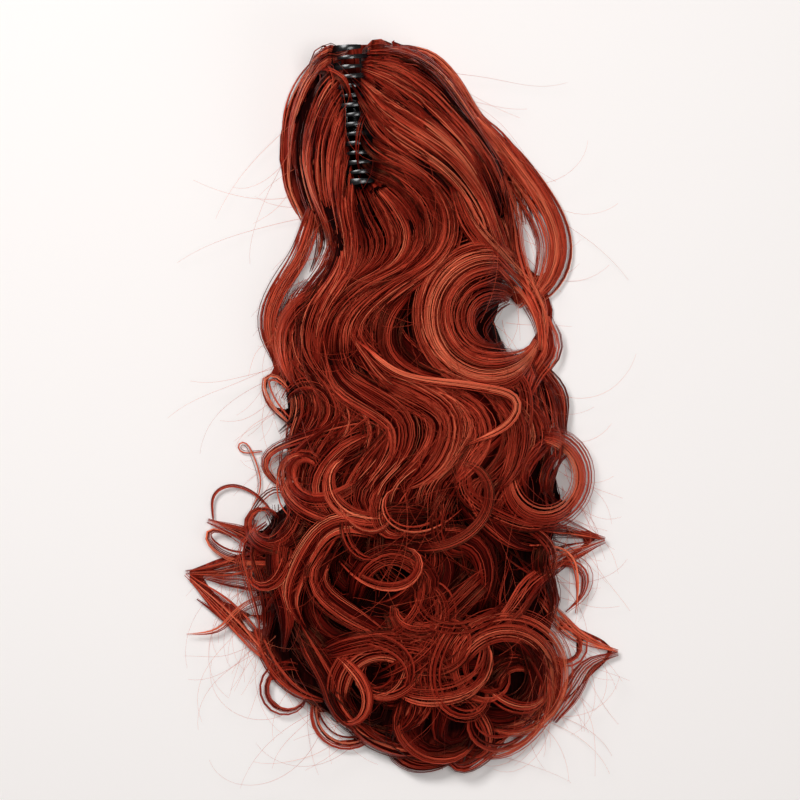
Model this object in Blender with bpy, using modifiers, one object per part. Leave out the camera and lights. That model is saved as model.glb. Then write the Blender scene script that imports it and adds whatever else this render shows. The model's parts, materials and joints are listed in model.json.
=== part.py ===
"""A long curly ponytail hairpiece on a claw clip, lying on its back with the clip's teeth upwards.

Metres, +Z up. +Y runs from the curled ends to the clip, and the hairpiece rests on z = 0.
The hair is a mass of locks fused to one body, with a pocket that lets the clip's right jaw swing open.
"""

import math

import bmesh
import bpy
from mathutils import Euler, Matrix, Vector

# The hair's real size
HAIR_LENGTH = 0.520
HAIR_WIDTH = 0.309
EDGE_HEIGHT = 0.013
MOUND_EXPONENT = 2.6
BACKING_RISE_SHARE = 0.77
BACKING_SPREAD_SHARE = 0.94
LOCK_FLATNESS_SHARE = 0.66
THINNEST_LOCK = 0.0034
LOCK_SIDES = 8
END_FULLNESS_SHARE = 0.72
CURL_STEP = math.radians(24)
BACKING_SIDES = 16
FLOOR_CUT = 0.0015
FUSING_GRAIN = 0.0024
HAIR_TRIANGLES = 8600

# The clip's real size
CLIP_LENGTH = 0.098
CLIP_LEAN = math.radians(5.4)
JAW_RADIUS = 0.0180
JAW_RISE = 0.0155
JAW_WALL = 0.0020
JAW_EDGE_ANGLE = math.radians(43)
TOOTH_REACH_ANGLE = math.radians(29)
TOOTH_COUNT = 15
TOOTH_WIDTH = 0.0032
TOOTH_TIP_SHARE = 0.55
END_TOOTH_WIDTH = 0.0046
JAW_FOOT_HALF_GAP = 0.0072
GRIP_LENGTH = 0.0180
GRIP_WIDTH = 0.0280
GRIP_SPREAD = math.radians(38)
GRIP_FLARE = 0.0012
OPENING_ANGLE = math.radians(40)

# The hinge
PIN_RADIUS = 0.0014
PIN_CLEARANCE = 0.0004
KNUCKLE_WALL = 0.0016
KNUCKLE_WIDTH = 0.0034
KNUCKLE_GAP = 0.0006
EAR_ROOT_DEPTH_SHARE = 0.2
EAR_ROOT_DROP_SHARE = 0.45
EAR_ROOT_RISE_SHARE = 0.62
PIN_HEAD_RADIUS = 0.0026
PIN_HEAD_LENGTH = 0.0012
SPRING_WIRE_RADIUS = 0.0005
SPRING_TURNS = 4
SPRING_PITCH_SHARE = 2.3
SPRING_SIDES = 12
SPRING_EXTRA_TURN = 1 / 6
SPRING_LEG = 0.0060
SPRING_LEG_ANGLE = math.radians(-120)
SPRING_CLEARANCE = 0.0005

# The sewn weft on each jaw, and the room round the clip
WEFT_THICKNESS = 0.0020
WEFT_LOW_ANGLE = math.radians(-38)
GAP = 0.0003
SWING_CLEARANCE = 0.0009
END_CLEARANCE = 0.0015
MOUTH_HALF_WIDTH = 0.0125
MOUTH_SPLAY_SHARE = 1.25
MOUTH_DEPTH = 0.0105
UNDER_HAIR = 0.0050
ROOM_SIDES = 56

# How finely arcs are stepped, and the edges that stay sharp
GRIP_STEPS = 3
SHELL_STEPS = 7
WEFT_STEPS = 8
EAR_STEPS = 12
EAR_ARC_START = math.radians(70)
EAR_ARC_END = math.radians(290)
BORE_SIDES = 16
SHARP_ANGLE = math.radians(35)

# In the tables, across and down are hundredths of the hair's width and length, from its left edge and
# its clip end. Widths and radii are hundredths of its width, heights are shares of its height there.

# The clip's middle: across, down
CLIP_PLACE = (39.6, 10.6)

# Sections of the hair mass: down, left edge, right edge, height as a share of the crown's
SECTIONS = (
    (0, 35, 49, 0.42),
    (1.5, 30.5, 56.5, 0.86),
    (5.5, 26.5, 62.5, 0.99),
    (11, 24, 68.5, 1.00),
    (17, 24, 75, 0.98),
    (22.5, 27, 76, 0.92),
    (28, 34.5, 75.5, 0.84),
    (31, 32.5, 75.8, 0.82),
    (34, 24, 76, 0.80),
    (38, 22, 74, 0.80),
    (42, 22, 77, 0.81),
    (47.5, 20.5, 85.5, 0.82),
    (54, 21.5, 87, 0.86),
    (61, 23, 89, 0.88),
    (68, 13, 87.5, 0.86),
    (74.5, 13, 86, 0.82),
    (81.5, 18, 86, 0.76),
    (88, 24, 84.5, 0.68),
    (93.5, 34, 79, 0.56),
    (98, 50, 71, 0.36),
)

# Falling locks: name, half width, height at root and tip, then (across, down) of the places it runs through
FALLS = (
    ("left_edge", 2.5, 0.80, 0.55, (35.5, 3), (27, 6.5), (23.5, 12.5), (24, 18.5), (30, 25)),
    ("left_edge_tail", 2.0, 0.80, 0.60, (29.3, 24.3), (27, 28.7), (21.8, 34), (19.3, 39), (22.5, 47)),
    ("left_outer_fall", 3.1, 0.92, 0.80, (36.5, 4), (28, 10.5), (27, 16.5), (32, 24.5)),
    ("left_middle_fall", 3.1, 0.96, 0.90, (37, 6.5), (33.5, 10), (31.5, 17), (34.5, 23), (37, 28), (33, 34)),
    ("left_inner_fall", 2.5, 0.96, 0.94, (37, 10.5), (35, 15), (37.5, 25.5), (34.5, 34.5)),
    ("left_shoulder", 3.1, 0.94, 0.92, (32.5, 34), (24, 39.5), (24.5, 44), (27, 48)),
    ("left_band", 3.4, 0.96, 0.92, (34.5, 33), (31, 37), (29.5, 41.5), (32, 46)),
    ("crown_edge", 2.5, 0.86, 0.70, (42, 1.5), (49, 1), (56.5, 2.5), (68.5, 11.5), (75, 15.5)),
    ("right_edge_loop", 2.2, 0.80, 0.62, (73, 14.5), (81, 20), (86.5, 27), (83.5, 33), (78.5, 36)),
    ("crown_second", 3.4, 0.94, 0.88, (42.5, 3.5), (50.5, 4.5), (58.5, 8), (70.5, 17), (74, 21.5)),
    ("crown_third", 3.4, 0.99, 0.96, (43, 5.5), (49, 8), (55.5, 11.5), (69, 19.5), (72.5, 24.5)),
    ("crown_fourth", 3.1, 1.00, 0.98, (42, 8), (47, 11.5), (61.5, 18.5), (70.5, 28)),
    ("right_fall", 3.4, 0.98, 0.92, (43.5, 12.5), (57.5, 18.5), (63, 25), (60, 31.5)),
    ("gap_lock", 2.2, 0.92, 0.90, (71.5, 18.5), (75, 23.5), (79, 33), (83, 37.5)),
    ("wave_first", 3.4, 0.99, 0.98, (44.5, 15.5), (56.5, 22), (59, 26.5), (55.5, 30), (39.5, 34)),
    ("wave_second", 3.4, 1.00, 0.98, (43.5, 20), (51.5, 26), (48.5, 30), (36, 35), (35, 39.5)),
    ("wave_third", 3.1, 0.99, 0.98, (40.5, 22), (43, 27), (37, 35.5), (39, 42), (46, 45)),
    ("front_tendril", 1.6, 1.06, 1.02, (46, 42), (52, 45.5), (72.5, 47), (76.5, 49), (66.5, 54)),
    ("hollow_band", 3.1, 0.92, 0.98, (53, 33.5), (47.5, 37.5), (47, 42), (52.5, 45), (61, 46)),
    ("arch_left", 3.4, 1.00, 0.96, (34.5, 42.5), (37.5, 46), (50, 51), (50.5, 55.5), (46, 59)),
    ("arch_middle", 3.4, 1.01, 0.96, (44.5, 45.5), (59, 50), (60.5, 54), (56, 58.5), (49.5, 61)),
    ("arch_right", 3.4, 0.98, 0.94, (59, 47), (67, 49.5), (70, 53.5), (66, 58), (59, 61.5)),
    ("right_edge_fall", 2.5, 0.84, 0.72, (81.5, 43.5), (86.5, 48), (87.5, 53.5)),
    ("right_outer_arc", 2.2, 0.98, 0.84, (76.5, 50.5), (65, 57), (65, 62), (79.5, 66), (89, 64)),
    ("right_spike", 1.6, 0.74, 0.84, (77, 66.5), (87.5, 67), (96, 67.5), (82.5, 72.5), (78.5, 76.5)),
    ("right_low_spike", 1.5, 0.62, 0.58, (83.5, 77.5), (92, 80.5), (98.8, 83), (93.5, 86.5), (87.5, 90.5)),
    ("bottom_lip", 2.2, 0.60, 0.56, (49, 94), (48, 96.5), (53, 98.5), (60.5, 98), (66, 95.5)),
    ("bottom_tip", 2.0, 0.70, 0.58, (74.5, 93.5), (70.5, 96.5), (64.5, 99), (61, 98), (64, 95)),
    ("left_small_loop", 1.2, 0.72, 0.70, (25, 52), (20, 49), (18.5, 45.5), (22.5, 46), (25.5, 48.5)),
    ("left_tuck", 1.6, 0.96, 0.66, (45, 51.5), (36, 52.5), (20, 56), (19.5, 59), (23.5, 61)),
    ("left_hook", 1.6, 0.92, 0.80, (31, 54.5), (25.5, 57), (23.5, 61), (26.5, 64.5), (31.5, 66.5)),
    ("left_big_arc", 2.9, 0.98, 0.86, (47, 67), (39, 65), (31, 67), (25, 75), (28.5, 80)),
    ("left_spike", 2.2, 0.88, 0.72, (27, 70), (16.5, 70), (2, 72.5), (5.5, 75), (16.5, 82)),
    ("left_upper_spike", 2.0, 0.90, 0.66, (28, 69.5), (19, 68.5), (13, 67), (7.5, 65.5)),
    ("left_low_spike", 1.2, 0.56, 0.56, (17.5, 79), (10, 76.5), (4.5, 76), (9, 79), (15, 81.5)),
    ("lower_left_fall", 2.2, 0.86, 0.78, (17, 80), (20.5, 85), (26.5, 88.5), (34.5, 90)),
    ("low_inner", 2.5, 0.98, 0.92, (35, 68.5), (31, 72.5), (35, 76), (49.5, 81.5)),
    ("low_arch", 2.9, 1.00, 0.94, (39, 76), (41.5, 71.5), (49, 69.5), (57, 73.5), (50.5, 78)),
    ("low_fork", 2.2, 0.98, 0.90, (52, 68.5), (60.5, 67), (67.5, 68.5), (69.5, 73), (67.5, 78)),
    ("low_right_fall", 2.5, 0.98, 0.88, (85.5, 71.5), (79.5, 74), (75.5, 77.5), (67.5, 81)),
    ("low_sweep", 2.5, 0.98, 0.92, (30.5, 83.5), (39.5, 81.5), (50.5, 81), (60, 83), (64, 87.5)),
    ("low_fill", 2.9, 0.94, 0.90, (59, 65), (50, 64), (42, 65.5), (37, 69.5)),
    ("low_core", 3.1, 0.96, 0.90, (72.5, 70.5), (59, 78.5), (54.5, 84), (58.5, 89.5)),
    ("left_sweep", 3.2, 0.96, 0.90, (45, 53), (36, 56), (31, 61), (36, 66)),
    ("middle_tuck", 2.9, 0.98, 0.92, (46, 58), (41, 62), (46, 66.5)),
    ("right_middle_fall", 2.9, 0.96, 0.92, (69, 46.5), (76, 52), (75, 58), (69.5, 62.5)),
    ("right_flank", 2.5, 0.88, 0.84, (83, 37.5), (84.5, 42), (80, 46), (78, 51)),
    ("right_low_flank", 2.9, 0.90, 0.84, (84, 66.5), (82, 71), (85, 76), (83, 80)),
    ("bottom_left_fill", 3.4, 0.92, 0.80, (27, 79), (34, 86), (37, 91), (45, 95)),
    ("bottom_middle_fill", 3.4, 0.94, 0.76, (54, 84), (60, 90), (58, 95)),
)

# Curls: name, half width, height at root and tip, middle's across and down, first and last radius,
# first angle and sweep in degrees (0 points right, and a sweep is clockwise from above)
CURLS = (
    ("big_curl", 3.0, 1.00, 0.92, 70.5, 37.5, 13.5, 11.5, -60, 346),
    ("big_curl_inside", 2.5, 0.92, 0.78, 70.5, 38, 8, 7, -30, -264),
    ("right_ring", 2.0, 0.98, 0.86, 82.5, 59.5, 9.5, 8, -100, 330),
    ("right_low_loop", 1.4, 0.70, 0.58, 87.5, 82.5, 4.5, 3.5, -110, 290),
    ("bottom_right_ring", 2.5, 0.96, 0.84, 74, 86.5, 13, 11, 180, 306),
    ("bottom_right_core", 2.0, 0.70, 0.60, 76.5, 87.5, 5.5, 4, 120, 270),
    ("bottom_middle_ring", 2.3, 0.94, 0.84, 46, 88, 10.5, 9, 150, 300),
    ("bottom_left_loop", 1.4, 0.66, 0.56, 24, 88.5, 6, 4.5, -40, -320),
    ("bottom_loop", 1.6, 0.62, 0.54, 38, 91.5, 8, 7, 200, -230),
    ("left_ring", 1.4, 0.94, 0.80, 29, 50, 6, 5, 200, 300),
    ("left_upper_curl", 1.2, 0.80, 0.62, 19, 65.5, 4, 3, 20, 320),
)

HAIR_RED = (0.30, 0.035, 0.012, 1)
CLIP_BLACK = (0.010, 0.010, 0.011, 1)
WEFT_BROWN = (0.045, 0.008, 0.006, 1)
STEEL = (0.55, 0.55, 0.56, 1)


def across(place):
    """The real place across the hair of a place in the tables, with the middle of its width at 0."""
    return (place / 100 - 0.5) * HAIR_WIDTH


def along(place):
    """The real place along the hair of a place in the tables, with the middle of its length at 0."""
    return (0.5 - place / 100) * HAIR_LENGTH


def material(name, colour, roughness, metallic=0.0):
    made = bpy.data.materials.new(name)
    made.use_nodes = True
    shader = made.node_tree.nodes["Principled BSDF"]
    shader.inputs["Base Color"].default_value = colour
    shader.inputs["Roughness"].default_value = roughness
    shader.inputs["Metallic"].default_value = metallic
    return made


def clear_scene():
    for old in list(bpy.data.objects):
        bpy.data.objects.remove(old)


def new_collection(name, parent=None):
    made = bpy.data.collections.new(name)
    (parent or bpy.context.scene.collection).children.link(made)
    return made


def new_object(name, data, collection, finish=None):
    made = bpy.data.objects.new(name, data)
    collection.objects.link(made)
    if finish is not None:
        data.materials.clear()
        data.materials.append(finish)
    return made


def mesh_of(obj, name, collection, finish=None):
    """A mesh object with the evaluated shape of obj, which it replaces."""
    bpy.context.view_layer.update()
    graph = bpy.context.evaluated_depsgraph_get()
    data = bpy.data.meshes.new_from_object(obj.evaluated_get(graph))
    work = bmesh.new()
    work.from_mesh(data)
    bmesh.ops.remove_doubles(work, verts=work.verts, dist=0.00001)
    bmesh.ops.recalc_face_normals(work, faces=work.faces)
    work.to_mesh(data)
    work.free()
    made = new_object(name, data, collection, finish)
    made.matrix_world = obj.matrix_world
    bpy.data.objects.remove(obj)
    return made


def outline_plate(name, rings, width, collection):
    """A mesh plate along Y from outlines in X and Z, where each ring after the first is a hole."""
    curve = bpy.data.curves.new(name, "CURVE")
    curve.dimensions = "2D"
    curve.fill_mode = "BOTH"
    curve.extrude = width / 2
    for ring in rings:
        spline = curve.splines.new("POLY")
        spline.points.add(len(ring) - 1)
        for point, (x, z) in zip(spline.points, ring):
            point.co = (x, z, 0, 1)
        spline.use_cyclic_u = True
    flat = new_object(name + "_outline", curve, collection)
    flat.rotation_euler = (math.radians(90), 0, 0)
    made = mesh_of(flat, name, collection)
    made.data.transform(made.matrix_world)
    made.matrix_world = Matrix.Identity(4)
    return made


def arc(centre, radius, start, end, steps):
    """Points on an arc in X and Z, with both ends."""
    angles = [start + (end - start) * i / steps for i in range(steps + 1)]
    return [(centre[0] + radius * math.cos(a), centre[1] + radius * math.sin(a)) for a in angles]


def boolean(obj, other, operation):
    modifier = obj.modifiers.new(operation.lower() + "_" + other.name, "BOOLEAN")
    modifier.operation = operation
    modifier.object = other
    other.hide_render = True
    other.display_type = "WIRE"


def keep_largest_body(data):
    """Removes every loose piece of a mesh but the largest: crumbs, and voids sealed in the hair."""
    work = bmesh.new()
    work.from_mesh(data)
    left = set(work.verts)
    bodies = []
    while left:
        body = set()
        front = [left.pop()]
        while front:
            vert = front.pop()
            body.add(vert)
            for link in vert.link_edges:
                other = link.other_vert(vert)
                if other in left:
                    left.discard(other)
                    front.append(other)
        bodies.append(body)
    bodies.sort(key=len)
    crumbs = [vert for body in bodies[:-1] for vert in body]
    bmesh.ops.delete(work, geom=crumbs, context="VERTS")
    work.to_mesh(data)
    work.free()


# Hair


def mass_section(down):
    """Left edge, right edge and height share of the hair mass at a place down it."""
    if down <= SECTIONS[0][0]:
        return SECTIONS[0][1:]
    for upper, lower in zip(SECTIONS, SECTIONS[1:]):
        if down <= lower[0]:
            share = (down - upper[0]) / (lower[0] - upper[0])
            return tuple(a + (b - a) * share for a, b in zip(upper[1:], lower[1:]))
    return SECTIONS[-1][1:]


def mass_height(x, y):
    """The height of the hair mass over a real place, which falls to the edge height at its sides."""
    left_edge, right_edge, share = mass_section((0.5 - y / HAIR_LENGTH) * 100)
    half = (across(right_edge) - across(left_edge)) / 2
    offset = (x - across(left_edge)) / half - 1
    rise = max(0.0, share * crown_height() - EDGE_HEIGHT)
    return EDGE_HEIGHT + rise * math.sqrt(max(0.0, 1 - abs(offset) ** MOUND_EXPONENT))


def smooth_route(places):
    """A Catmull-Rom curve through the places, with one point more between each two of them."""
    before = 2 * places[0] - places[1]
    after = 2 * places[-1] - places[-2]
    stops = [before, *places, after]
    route = []
    for a, b, c, d in zip(stops, stops[1:], stops[2:], stops[3:]):
        route.append(b)
        route.append((9 * (b + c) - a - d) / 16)
    route.append(places[-1])
    return route


def curl_route(across_middle, down_middle, first_radius, last_radius, first_angle, sweep):
    """Points round a curl whose radius changes evenly."""
    middle = Vector((across(across_middle), along(down_middle)))
    steps = max(3, round(abs(math.radians(sweep)) / CURL_STEP))
    route = []
    for i in range(steps + 1):
        share = i / steps
        radius = (first_radius + (last_radius - first_radius) * share) / 100 * HAIR_WIDTH
        angle = -math.radians(first_angle + sweep * share)
        route.append(middle + Vector((radius * math.cos(angle), radius * math.sin(angle))))
    return route


def lock_profile(collection):
    """The flattened oval that every lock is swept with, one unit from its middle to its side."""
    curve = bpy.data.curves.new("lock_profile", "CURVE")
    curve.dimensions = "2D"
    spline = curve.splines.new("POLY")
    spline.points.add(LOCK_SIDES - 1)
    for i, point in enumerate(spline.points):
        angle = 2 * math.pi * (i + 0.5) / LOCK_SIDES
        point.co = (math.cos(angle), LOCK_FLATNESS_SHARE * math.sin(angle), 0, 1)
    spline.use_cyclic_u = True
    profile = new_object("lock_profile", curve, collection)
    profile.hide_render = True
    profile.display_type = "WIRE"
    return profile


def lock(name, half_width, root_share, tip_share, route, profile, collection):
    """One lock as a swept oval, full in its middle and narrower at root and tip."""
    width = max(THINNEST_LOCK, half_width / 100 * HAIR_WIDTH)
    curve = bpy.data.curves.new(name, "CURVE")
    curve.dimensions = "3D"
    curve.twist_mode = "Z_UP"
    curve.bevel_mode = "OBJECT"
    curve.bevel_object = profile
    curve.use_fill_caps = True
    spline = curve.splines.new("POLY")
    spline.points.add(len(route) - 1)
    for i, (point, place) in enumerate(zip(spline.points, route)):
        share = i / (len(route) - 1)
        top = (root_share + (tip_share - root_share) * share) * mass_height(*place)
        middle = max(top, 2 * width * LOCK_FLATNESS_SHARE) - width * LOCK_FLATNESS_SHARE
        point.co = (*place, middle, 1)
        point.radius = width * (END_FULLNESS_SHARE + (1 - END_FULLNESS_SHARE) * math.sin(math.pi * share))
    swept = new_object(name + "_sweep", curve, collection)
    return mesh_of(swept, name, collection)


def locks(profile, collection):
    """Every lock of both tables."""
    made = []
    for name, half_width, root_share, tip_share, *places in FALLS:
        route = smooth_route([Vector((across(a), along(d))) for a, d in places])
        made.append(lock(name, half_width, root_share, tip_share, route, profile, collection))
    for name, half_width, root_share, tip_share, *curl in CURLS:
        made.append(lock(name, half_width, root_share, tip_share, curl_route(*curl), profile, collection))
    return made


def backing(collection):
    """The hair under the locks: a low mound lofted through the sections, which reaches below the floor."""
    middle_height = EDGE_HEIGHT / 2
    work = bmesh.new()
    rings = []
    for down, left_edge, right_edge, share in SECTIONS:
        middle = across((left_edge + right_edge) / 2)
        half = (across(right_edge) - middle) * BACKING_SPREAD_SHARE
        top = max(EDGE_HEIGHT, BACKING_RISE_SHARE * share * crown_height())
        ring = []
        for i in range(BACKING_SIDES):
            angle = 2 * math.pi * i / BACKING_SIDES
            rise = math.sin(angle)
            reach = top - middle_height if rise > 0 else middle_height + FLOOR_CUT
            side = middle + half * math.cos(angle)
            ring.append(work.verts.new((side, along(down), middle_height + reach * rise)))
        rings.append(ring)
    for upper, lower in zip(rings, rings[1:]):
        for i in range(BACKING_SIDES):
            j = (i + 1) % BACKING_SIDES
            work.faces.new((upper[i], upper[j], lower[j], lower[i]))
    work.faces.new(rings[0])
    work.faces.new(rings[-1])
    bmesh.ops.recalc_face_normals(work, faces=work.faces)
    data = bpy.data.meshes.new("backing")
    work.to_mesh(data)
    work.free()
    return new_object("backing", data, collection)


def fuse(pieces, name, collection, finish):
    """One body with the outer surface of all the pieces, thinned to the hair's share of triangles."""
    work = bmesh.new()
    for piece in pieces:
        piece.data.transform(piece.matrix_world)
        work.from_mesh(piece.data)
    data = bpy.data.meshes.new(name)
    work.to_mesh(data)
    work.free()
    for piece in pieces:
        bpy.data.objects.remove(piece)
    raw = new_object(name + "_raw", data, collection)
    remesh = raw.modifiers.new("fuse", "REMESH")
    remesh.mode = "VOXEL"
    remesh.voxel_size = FUSING_GRAIN
    fused = mesh_of(raw, name + "_fused", collection)
    keep_largest_body(fused.data)
    fused.data.calc_loop_triangles()
    thin = fused.modifiers.new("thin", "DECIMATE")
    thin.ratio = min(1.0, HAIR_TRIANGLES / len(fused.data.loop_triangles))
    return mesh_of(fused, name, collection, finish)


def jaw_room_outline():
    """The room of both wefts and of the right jaw's swing, in the clip's X and Z with the hinge at 0."""
    swing_end = math.pi / 2 - OPENING_ANGLE
    outline = []
    for i in range(ROOM_SIDES):
        angle = -math.pi / 2 + 2 * math.pi * i / ROOM_SIDES
        outside = max(0.0, swing_end - angle, angle - math.pi / 2)
        clearance = SWING_CLEARANCE if angle < math.pi / 2 else GAP
        radius = JAW_RADIUS + GAP + WEFT_THICKNESS + clearance
        side = JAW_RISE * math.sin(outside)
        reach = JAW_RISE * math.cos(outside) + math.sqrt(radius * radius - side * side)
        outline.append((reach * math.cos(angle), reach * math.sin(angle)))
    return outline


def hair(clip_place, collection, cutters, finish):
    """The hair in one body: locks fused to their backing, cut for the clip, its mouth and the floor."""
    profile = lock_profile(cutters)
    whole = fuse([backing(cutters), *locks(profile, cutters)], "hair_whole", cutters, finish)
    end_run = HAIR_LENGTH / 2
    room_length = CLIP_LENGTH + 2 * END_CLEARANCE
    shift = Matrix.Translation((0, end_run / 2, 0))
    jaw_room = outline_plate("jaw_room", [jaw_room_outline()], room_length + end_run, cutters)
    jaw_room.matrix_world = clip_place @ shift
    grip_room_ring = arc((0, 0), grip_reach(), 0, 2 * math.pi, ROOM_SIDES)[:-1]
    grip_room = outline_plate("grip_room", [grip_room_ring], GRIP_WIDTH + 2 * END_CLEARANCE, cutters)
    grip_room.matrix_world = clip_place
    splay = MOUTH_HALF_WIDTH * MOUTH_SPLAY_SHARE
    mouth_ring = [
        (-MOUTH_HALF_WIDTH, JAW_RISE),
        (MOUTH_HALF_WIDTH, JAW_RISE),
        (splay, crown_height()),
        (-splay, crown_height()),
    ]
    mouth = outline_plate("mouth", [mouth_ring], room_length + end_run - 2 * GAP, cutters)
    mouth.matrix_world = clip_place @ shift
    deep = -crown_height()
    floor_ring = [(-HAIR_WIDTH, deep), (HAIR_WIDTH, deep), (HAIR_WIDTH, 0), (-HAIR_WIDTH, 0)]
    floor = outline_plate("floor", [floor_ring], 2 * HAIR_LENGTH, cutters)
    for cutter in (jaw_room, grip_room, mouth, floor):
        boolean(whole, cutter, "DIFFERENCE")
    made = mesh_of(whole, "hair", collection, finish)
    keep_largest_body(made.data)
    return made


# Clip


def grip_tip_place():
    """The tip of the right grip in the clip's X and Z."""
    foot_x, foot_z = jaw_foot_place()
    return (foot_x + GRIP_LENGTH * math.sin(GRIP_SPREAD), foot_z - GRIP_LENGTH * math.cos(GRIP_SPREAD))


def grip_reach():
    """How far from the hinge the room for the swinging grip goes."""
    return Vector(grip_tip_place()).length + JAW_WALL + SWING_CLEARANCE


def hinge_height():
    """The hinge's height over the floor: the grips swing clear of the hair under them."""
    return UNDER_HAIR + grip_reach()


def crown_height():
    """The height of the hair beside the clip, whose teeth lie a little lower."""
    return hinge_height() + JAW_RISE + JAW_RADIUS + MOUTH_DEPTH


def jaw_foot_place():
    """Where the right jaw's arc ends beside the hinge, in the clip's X and Z."""
    middle_radius = JAW_RADIUS - JAW_WALL / 2
    return (JAW_FOOT_HALF_GAP, JAW_RISE - math.sqrt(middle_radius ** 2 - JAW_FOOT_HALF_GAP ** 2))


def jaw_profile():
    """The right jaw's middle line in X and Z, in three runs: grip, shell and teeth."""
    middle_radius = JAW_RADIUS - JAW_WALL / 2
    centre = (0.0, JAW_RISE)
    foot = jaw_foot_place()
    tip = grip_tip_place()
    foot_angle = math.atan2(foot[1] - JAW_RISE, foot[0])
    grip = []
    for i in range(GRIP_STEPS):
        share = i / GRIP_STEPS
        flare = GRIP_FLARE * math.sin(math.pi * share)
        place = [a + (b - a) * share - flare for a, b in zip(tip, foot)]
        grip.append(tuple(place))
    shell = arc(centre, middle_radius, foot_angle, JAW_EDGE_ANGLE, SHELL_STEPS)
    teeth = arc(centre, middle_radius, JAW_EDGE_ANGLE, math.pi / 2 + TOOTH_REACH_ANGLE, SHELL_STEPS)[1:]
    return grip, shell, teeth


def tooth_places(side):
    """(middle, width) of each tooth of one jaw. The left jaw has the first and last, which are wider."""
    first = CLIP_LENGTH / 2 - END_TOOTH_WIDTH / 2
    pitch = 2 * first / (TOOTH_COUNT - 1)
    own = 0 if side < 0 else 1
    places = []
    for i in range(own, TOOTH_COUNT, 2):
        wide = i in (0, TOOTH_COUNT - 1)
        places.append((-first + i * pitch, END_TOOTH_WIDTH if wide else TOOTH_WIDTH))
    return places


def jaw_surface(side):
    """The open middle surface of one jaw: grip, shell and teeth in one sheet."""
    grip, shell, teeth = jaw_profile()
    work = bmesh.new()

    def row(place, stops):
        return [work.verts.new((side * place[0], stop, place[1])) for stop in stops]

    def join(lower, upper):
        work.faces.new([*lower, *reversed(upper)])

    half_length = CLIP_LENGTH / 2
    grip_stops = (-GRIP_WIDTH / 2, GRIP_WIDTH / 2)
    stops = [(middle - width / 2, middle + width / 2) for middle, width in tooth_places(side)]
    edge_stops = [stop for pair in stops for stop in pair]
    if side > 0:
        edge_stops = [-half_length + END_TOOTH_WIDTH, *edge_stops, half_length - END_TOOTH_WIDTH]
    body_stops = (edge_stops[0], edge_stops[-1])
    foot = row(shell[0], (body_stops[0], *grip_stops, body_stops[1]))
    rows = [row(place, grip_stops) for place in grip]
    for lower, upper in zip(rows, [*rows[1:], foot[1:3]]):
        join(lower, upper)
    below = foot
    for place in shell[1:-1]:
        above = row(place, body_stops)
        join(below, above)
        below = above
    edge = row(shell[-1], edge_stops)
    join(below, edge)
    first_tooth = 0 if side < 0 else 1
    for i, (middle, width) in enumerate(tooth_places(side)):
        below = edge[first_tooth + 2 * i : first_tooth + 2 * i + 2]
        for j, place in enumerate(teeth):
            share = (j + 1) / len(teeth)
            half = width / 2 * (1 - (1 - TOOTH_TIP_SHARE) * share ** 2)
            above = row(place, (middle - half, middle + half))
            join(below, above)
            below = above
    bmesh.ops.recalc_face_normals(work, faces=work.faces)
    data = bpy.data.meshes.new("jaw_surface")
    work.to_mesh(data)
    work.free()
    return data


def knuckle(name, side, place, collection):
    """An ear round the pin, with the arm that carries it from the jaw's foot."""
    outer = PIN_RADIUS + PIN_CLEARANCE + KNUCKLE_WALL
    bore = PIN_RADIUS + PIN_CLEARANCE
    foot_x, foot_z = jaw_foot_place()
    ring = arc((0, 0), outer, EAR_ARC_START, EAR_ARC_END, EAR_STEPS)
    root_x = foot_x + JAW_WALL * EAR_ROOT_DEPTH_SHARE
    ring += [(root_x, foot_z - outer * EAR_ROOT_DROP_SHARE), (root_x, foot_z + outer * EAR_ROOT_RISE_SHARE)]
    hole = arc((0, 0), bore, 0, 2 * math.pi, BORE_SIDES)[:-1]
    rings = [[(side * x, z) for x, z in points] for points in (ring, hole)]
    ear = outline_plate(name, rings, KNUCKLE_WIDTH, collection)
    ear.location = (0, place, 0)
    return ear


def knuckle_places(side):
    """Where one jaw's two ears stand along the clip: the left jaw's outside the right jaw's."""
    coil_half = SPRING_TURNS * SPRING_WIRE_RADIUS * SPRING_PITCH_SHARE / 2
    spring_half = coil_half + SPRING_CLEARANCE + SPRING_WIRE_RADIUS * 2
    inner = spring_half + KNUCKLE_WIDTH / 2
    outer = inner + KNUCKLE_WIDTH + KNUCKLE_GAP
    place = inner if side > 0 else outer
    return (-place, place)


def jaw(name, side, collection, cutters, finish):
    """One half of the clip: grip, curved shell, teeth and two hinge ears, in one body."""
    sheet = new_object(name + "_sheet", jaw_surface(side), cutters)
    wall = sheet.modifiers.new("wall", "SOLIDIFY")
    wall.thickness = JAW_WALL
    wall.offset = 0
    wall.use_even_offset = True
    body = mesh_of(sheet, name + "_body", cutters)
    for i, place in enumerate(knuckle_places(side)):
        ear = knuckle(f"{name}_ear_{i + 1}", side, place, cutters)
        boolean(body, ear, "UNION")
    made = mesh_of(body, name, collection, finish)
    return made


def turned(name, profile, collection, finish):
    """A solid turned round the Y axis from (place along, radius) pairs, which start and end on the axis."""
    work = bmesh.new()
    line = [work.verts.new((radius, place, 0)) for place, radius in profile]
    for a, b in zip(line, line[1:]):
        work.edges.new((a, b))
    data = bpy.data.meshes.new(name)
    work.to_mesh(data)
    work.free()
    made = new_object(name, data, collection, finish)
    screw = made.modifiers.new("turn", "SCREW")
    screw.axis = "Y"
    screw.steps = BORE_SIDES
    screw.render_steps = BORE_SIDES
    screw.use_merge_vertices = True
    screw.merge_threshold = 0.00001
    return made


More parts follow.
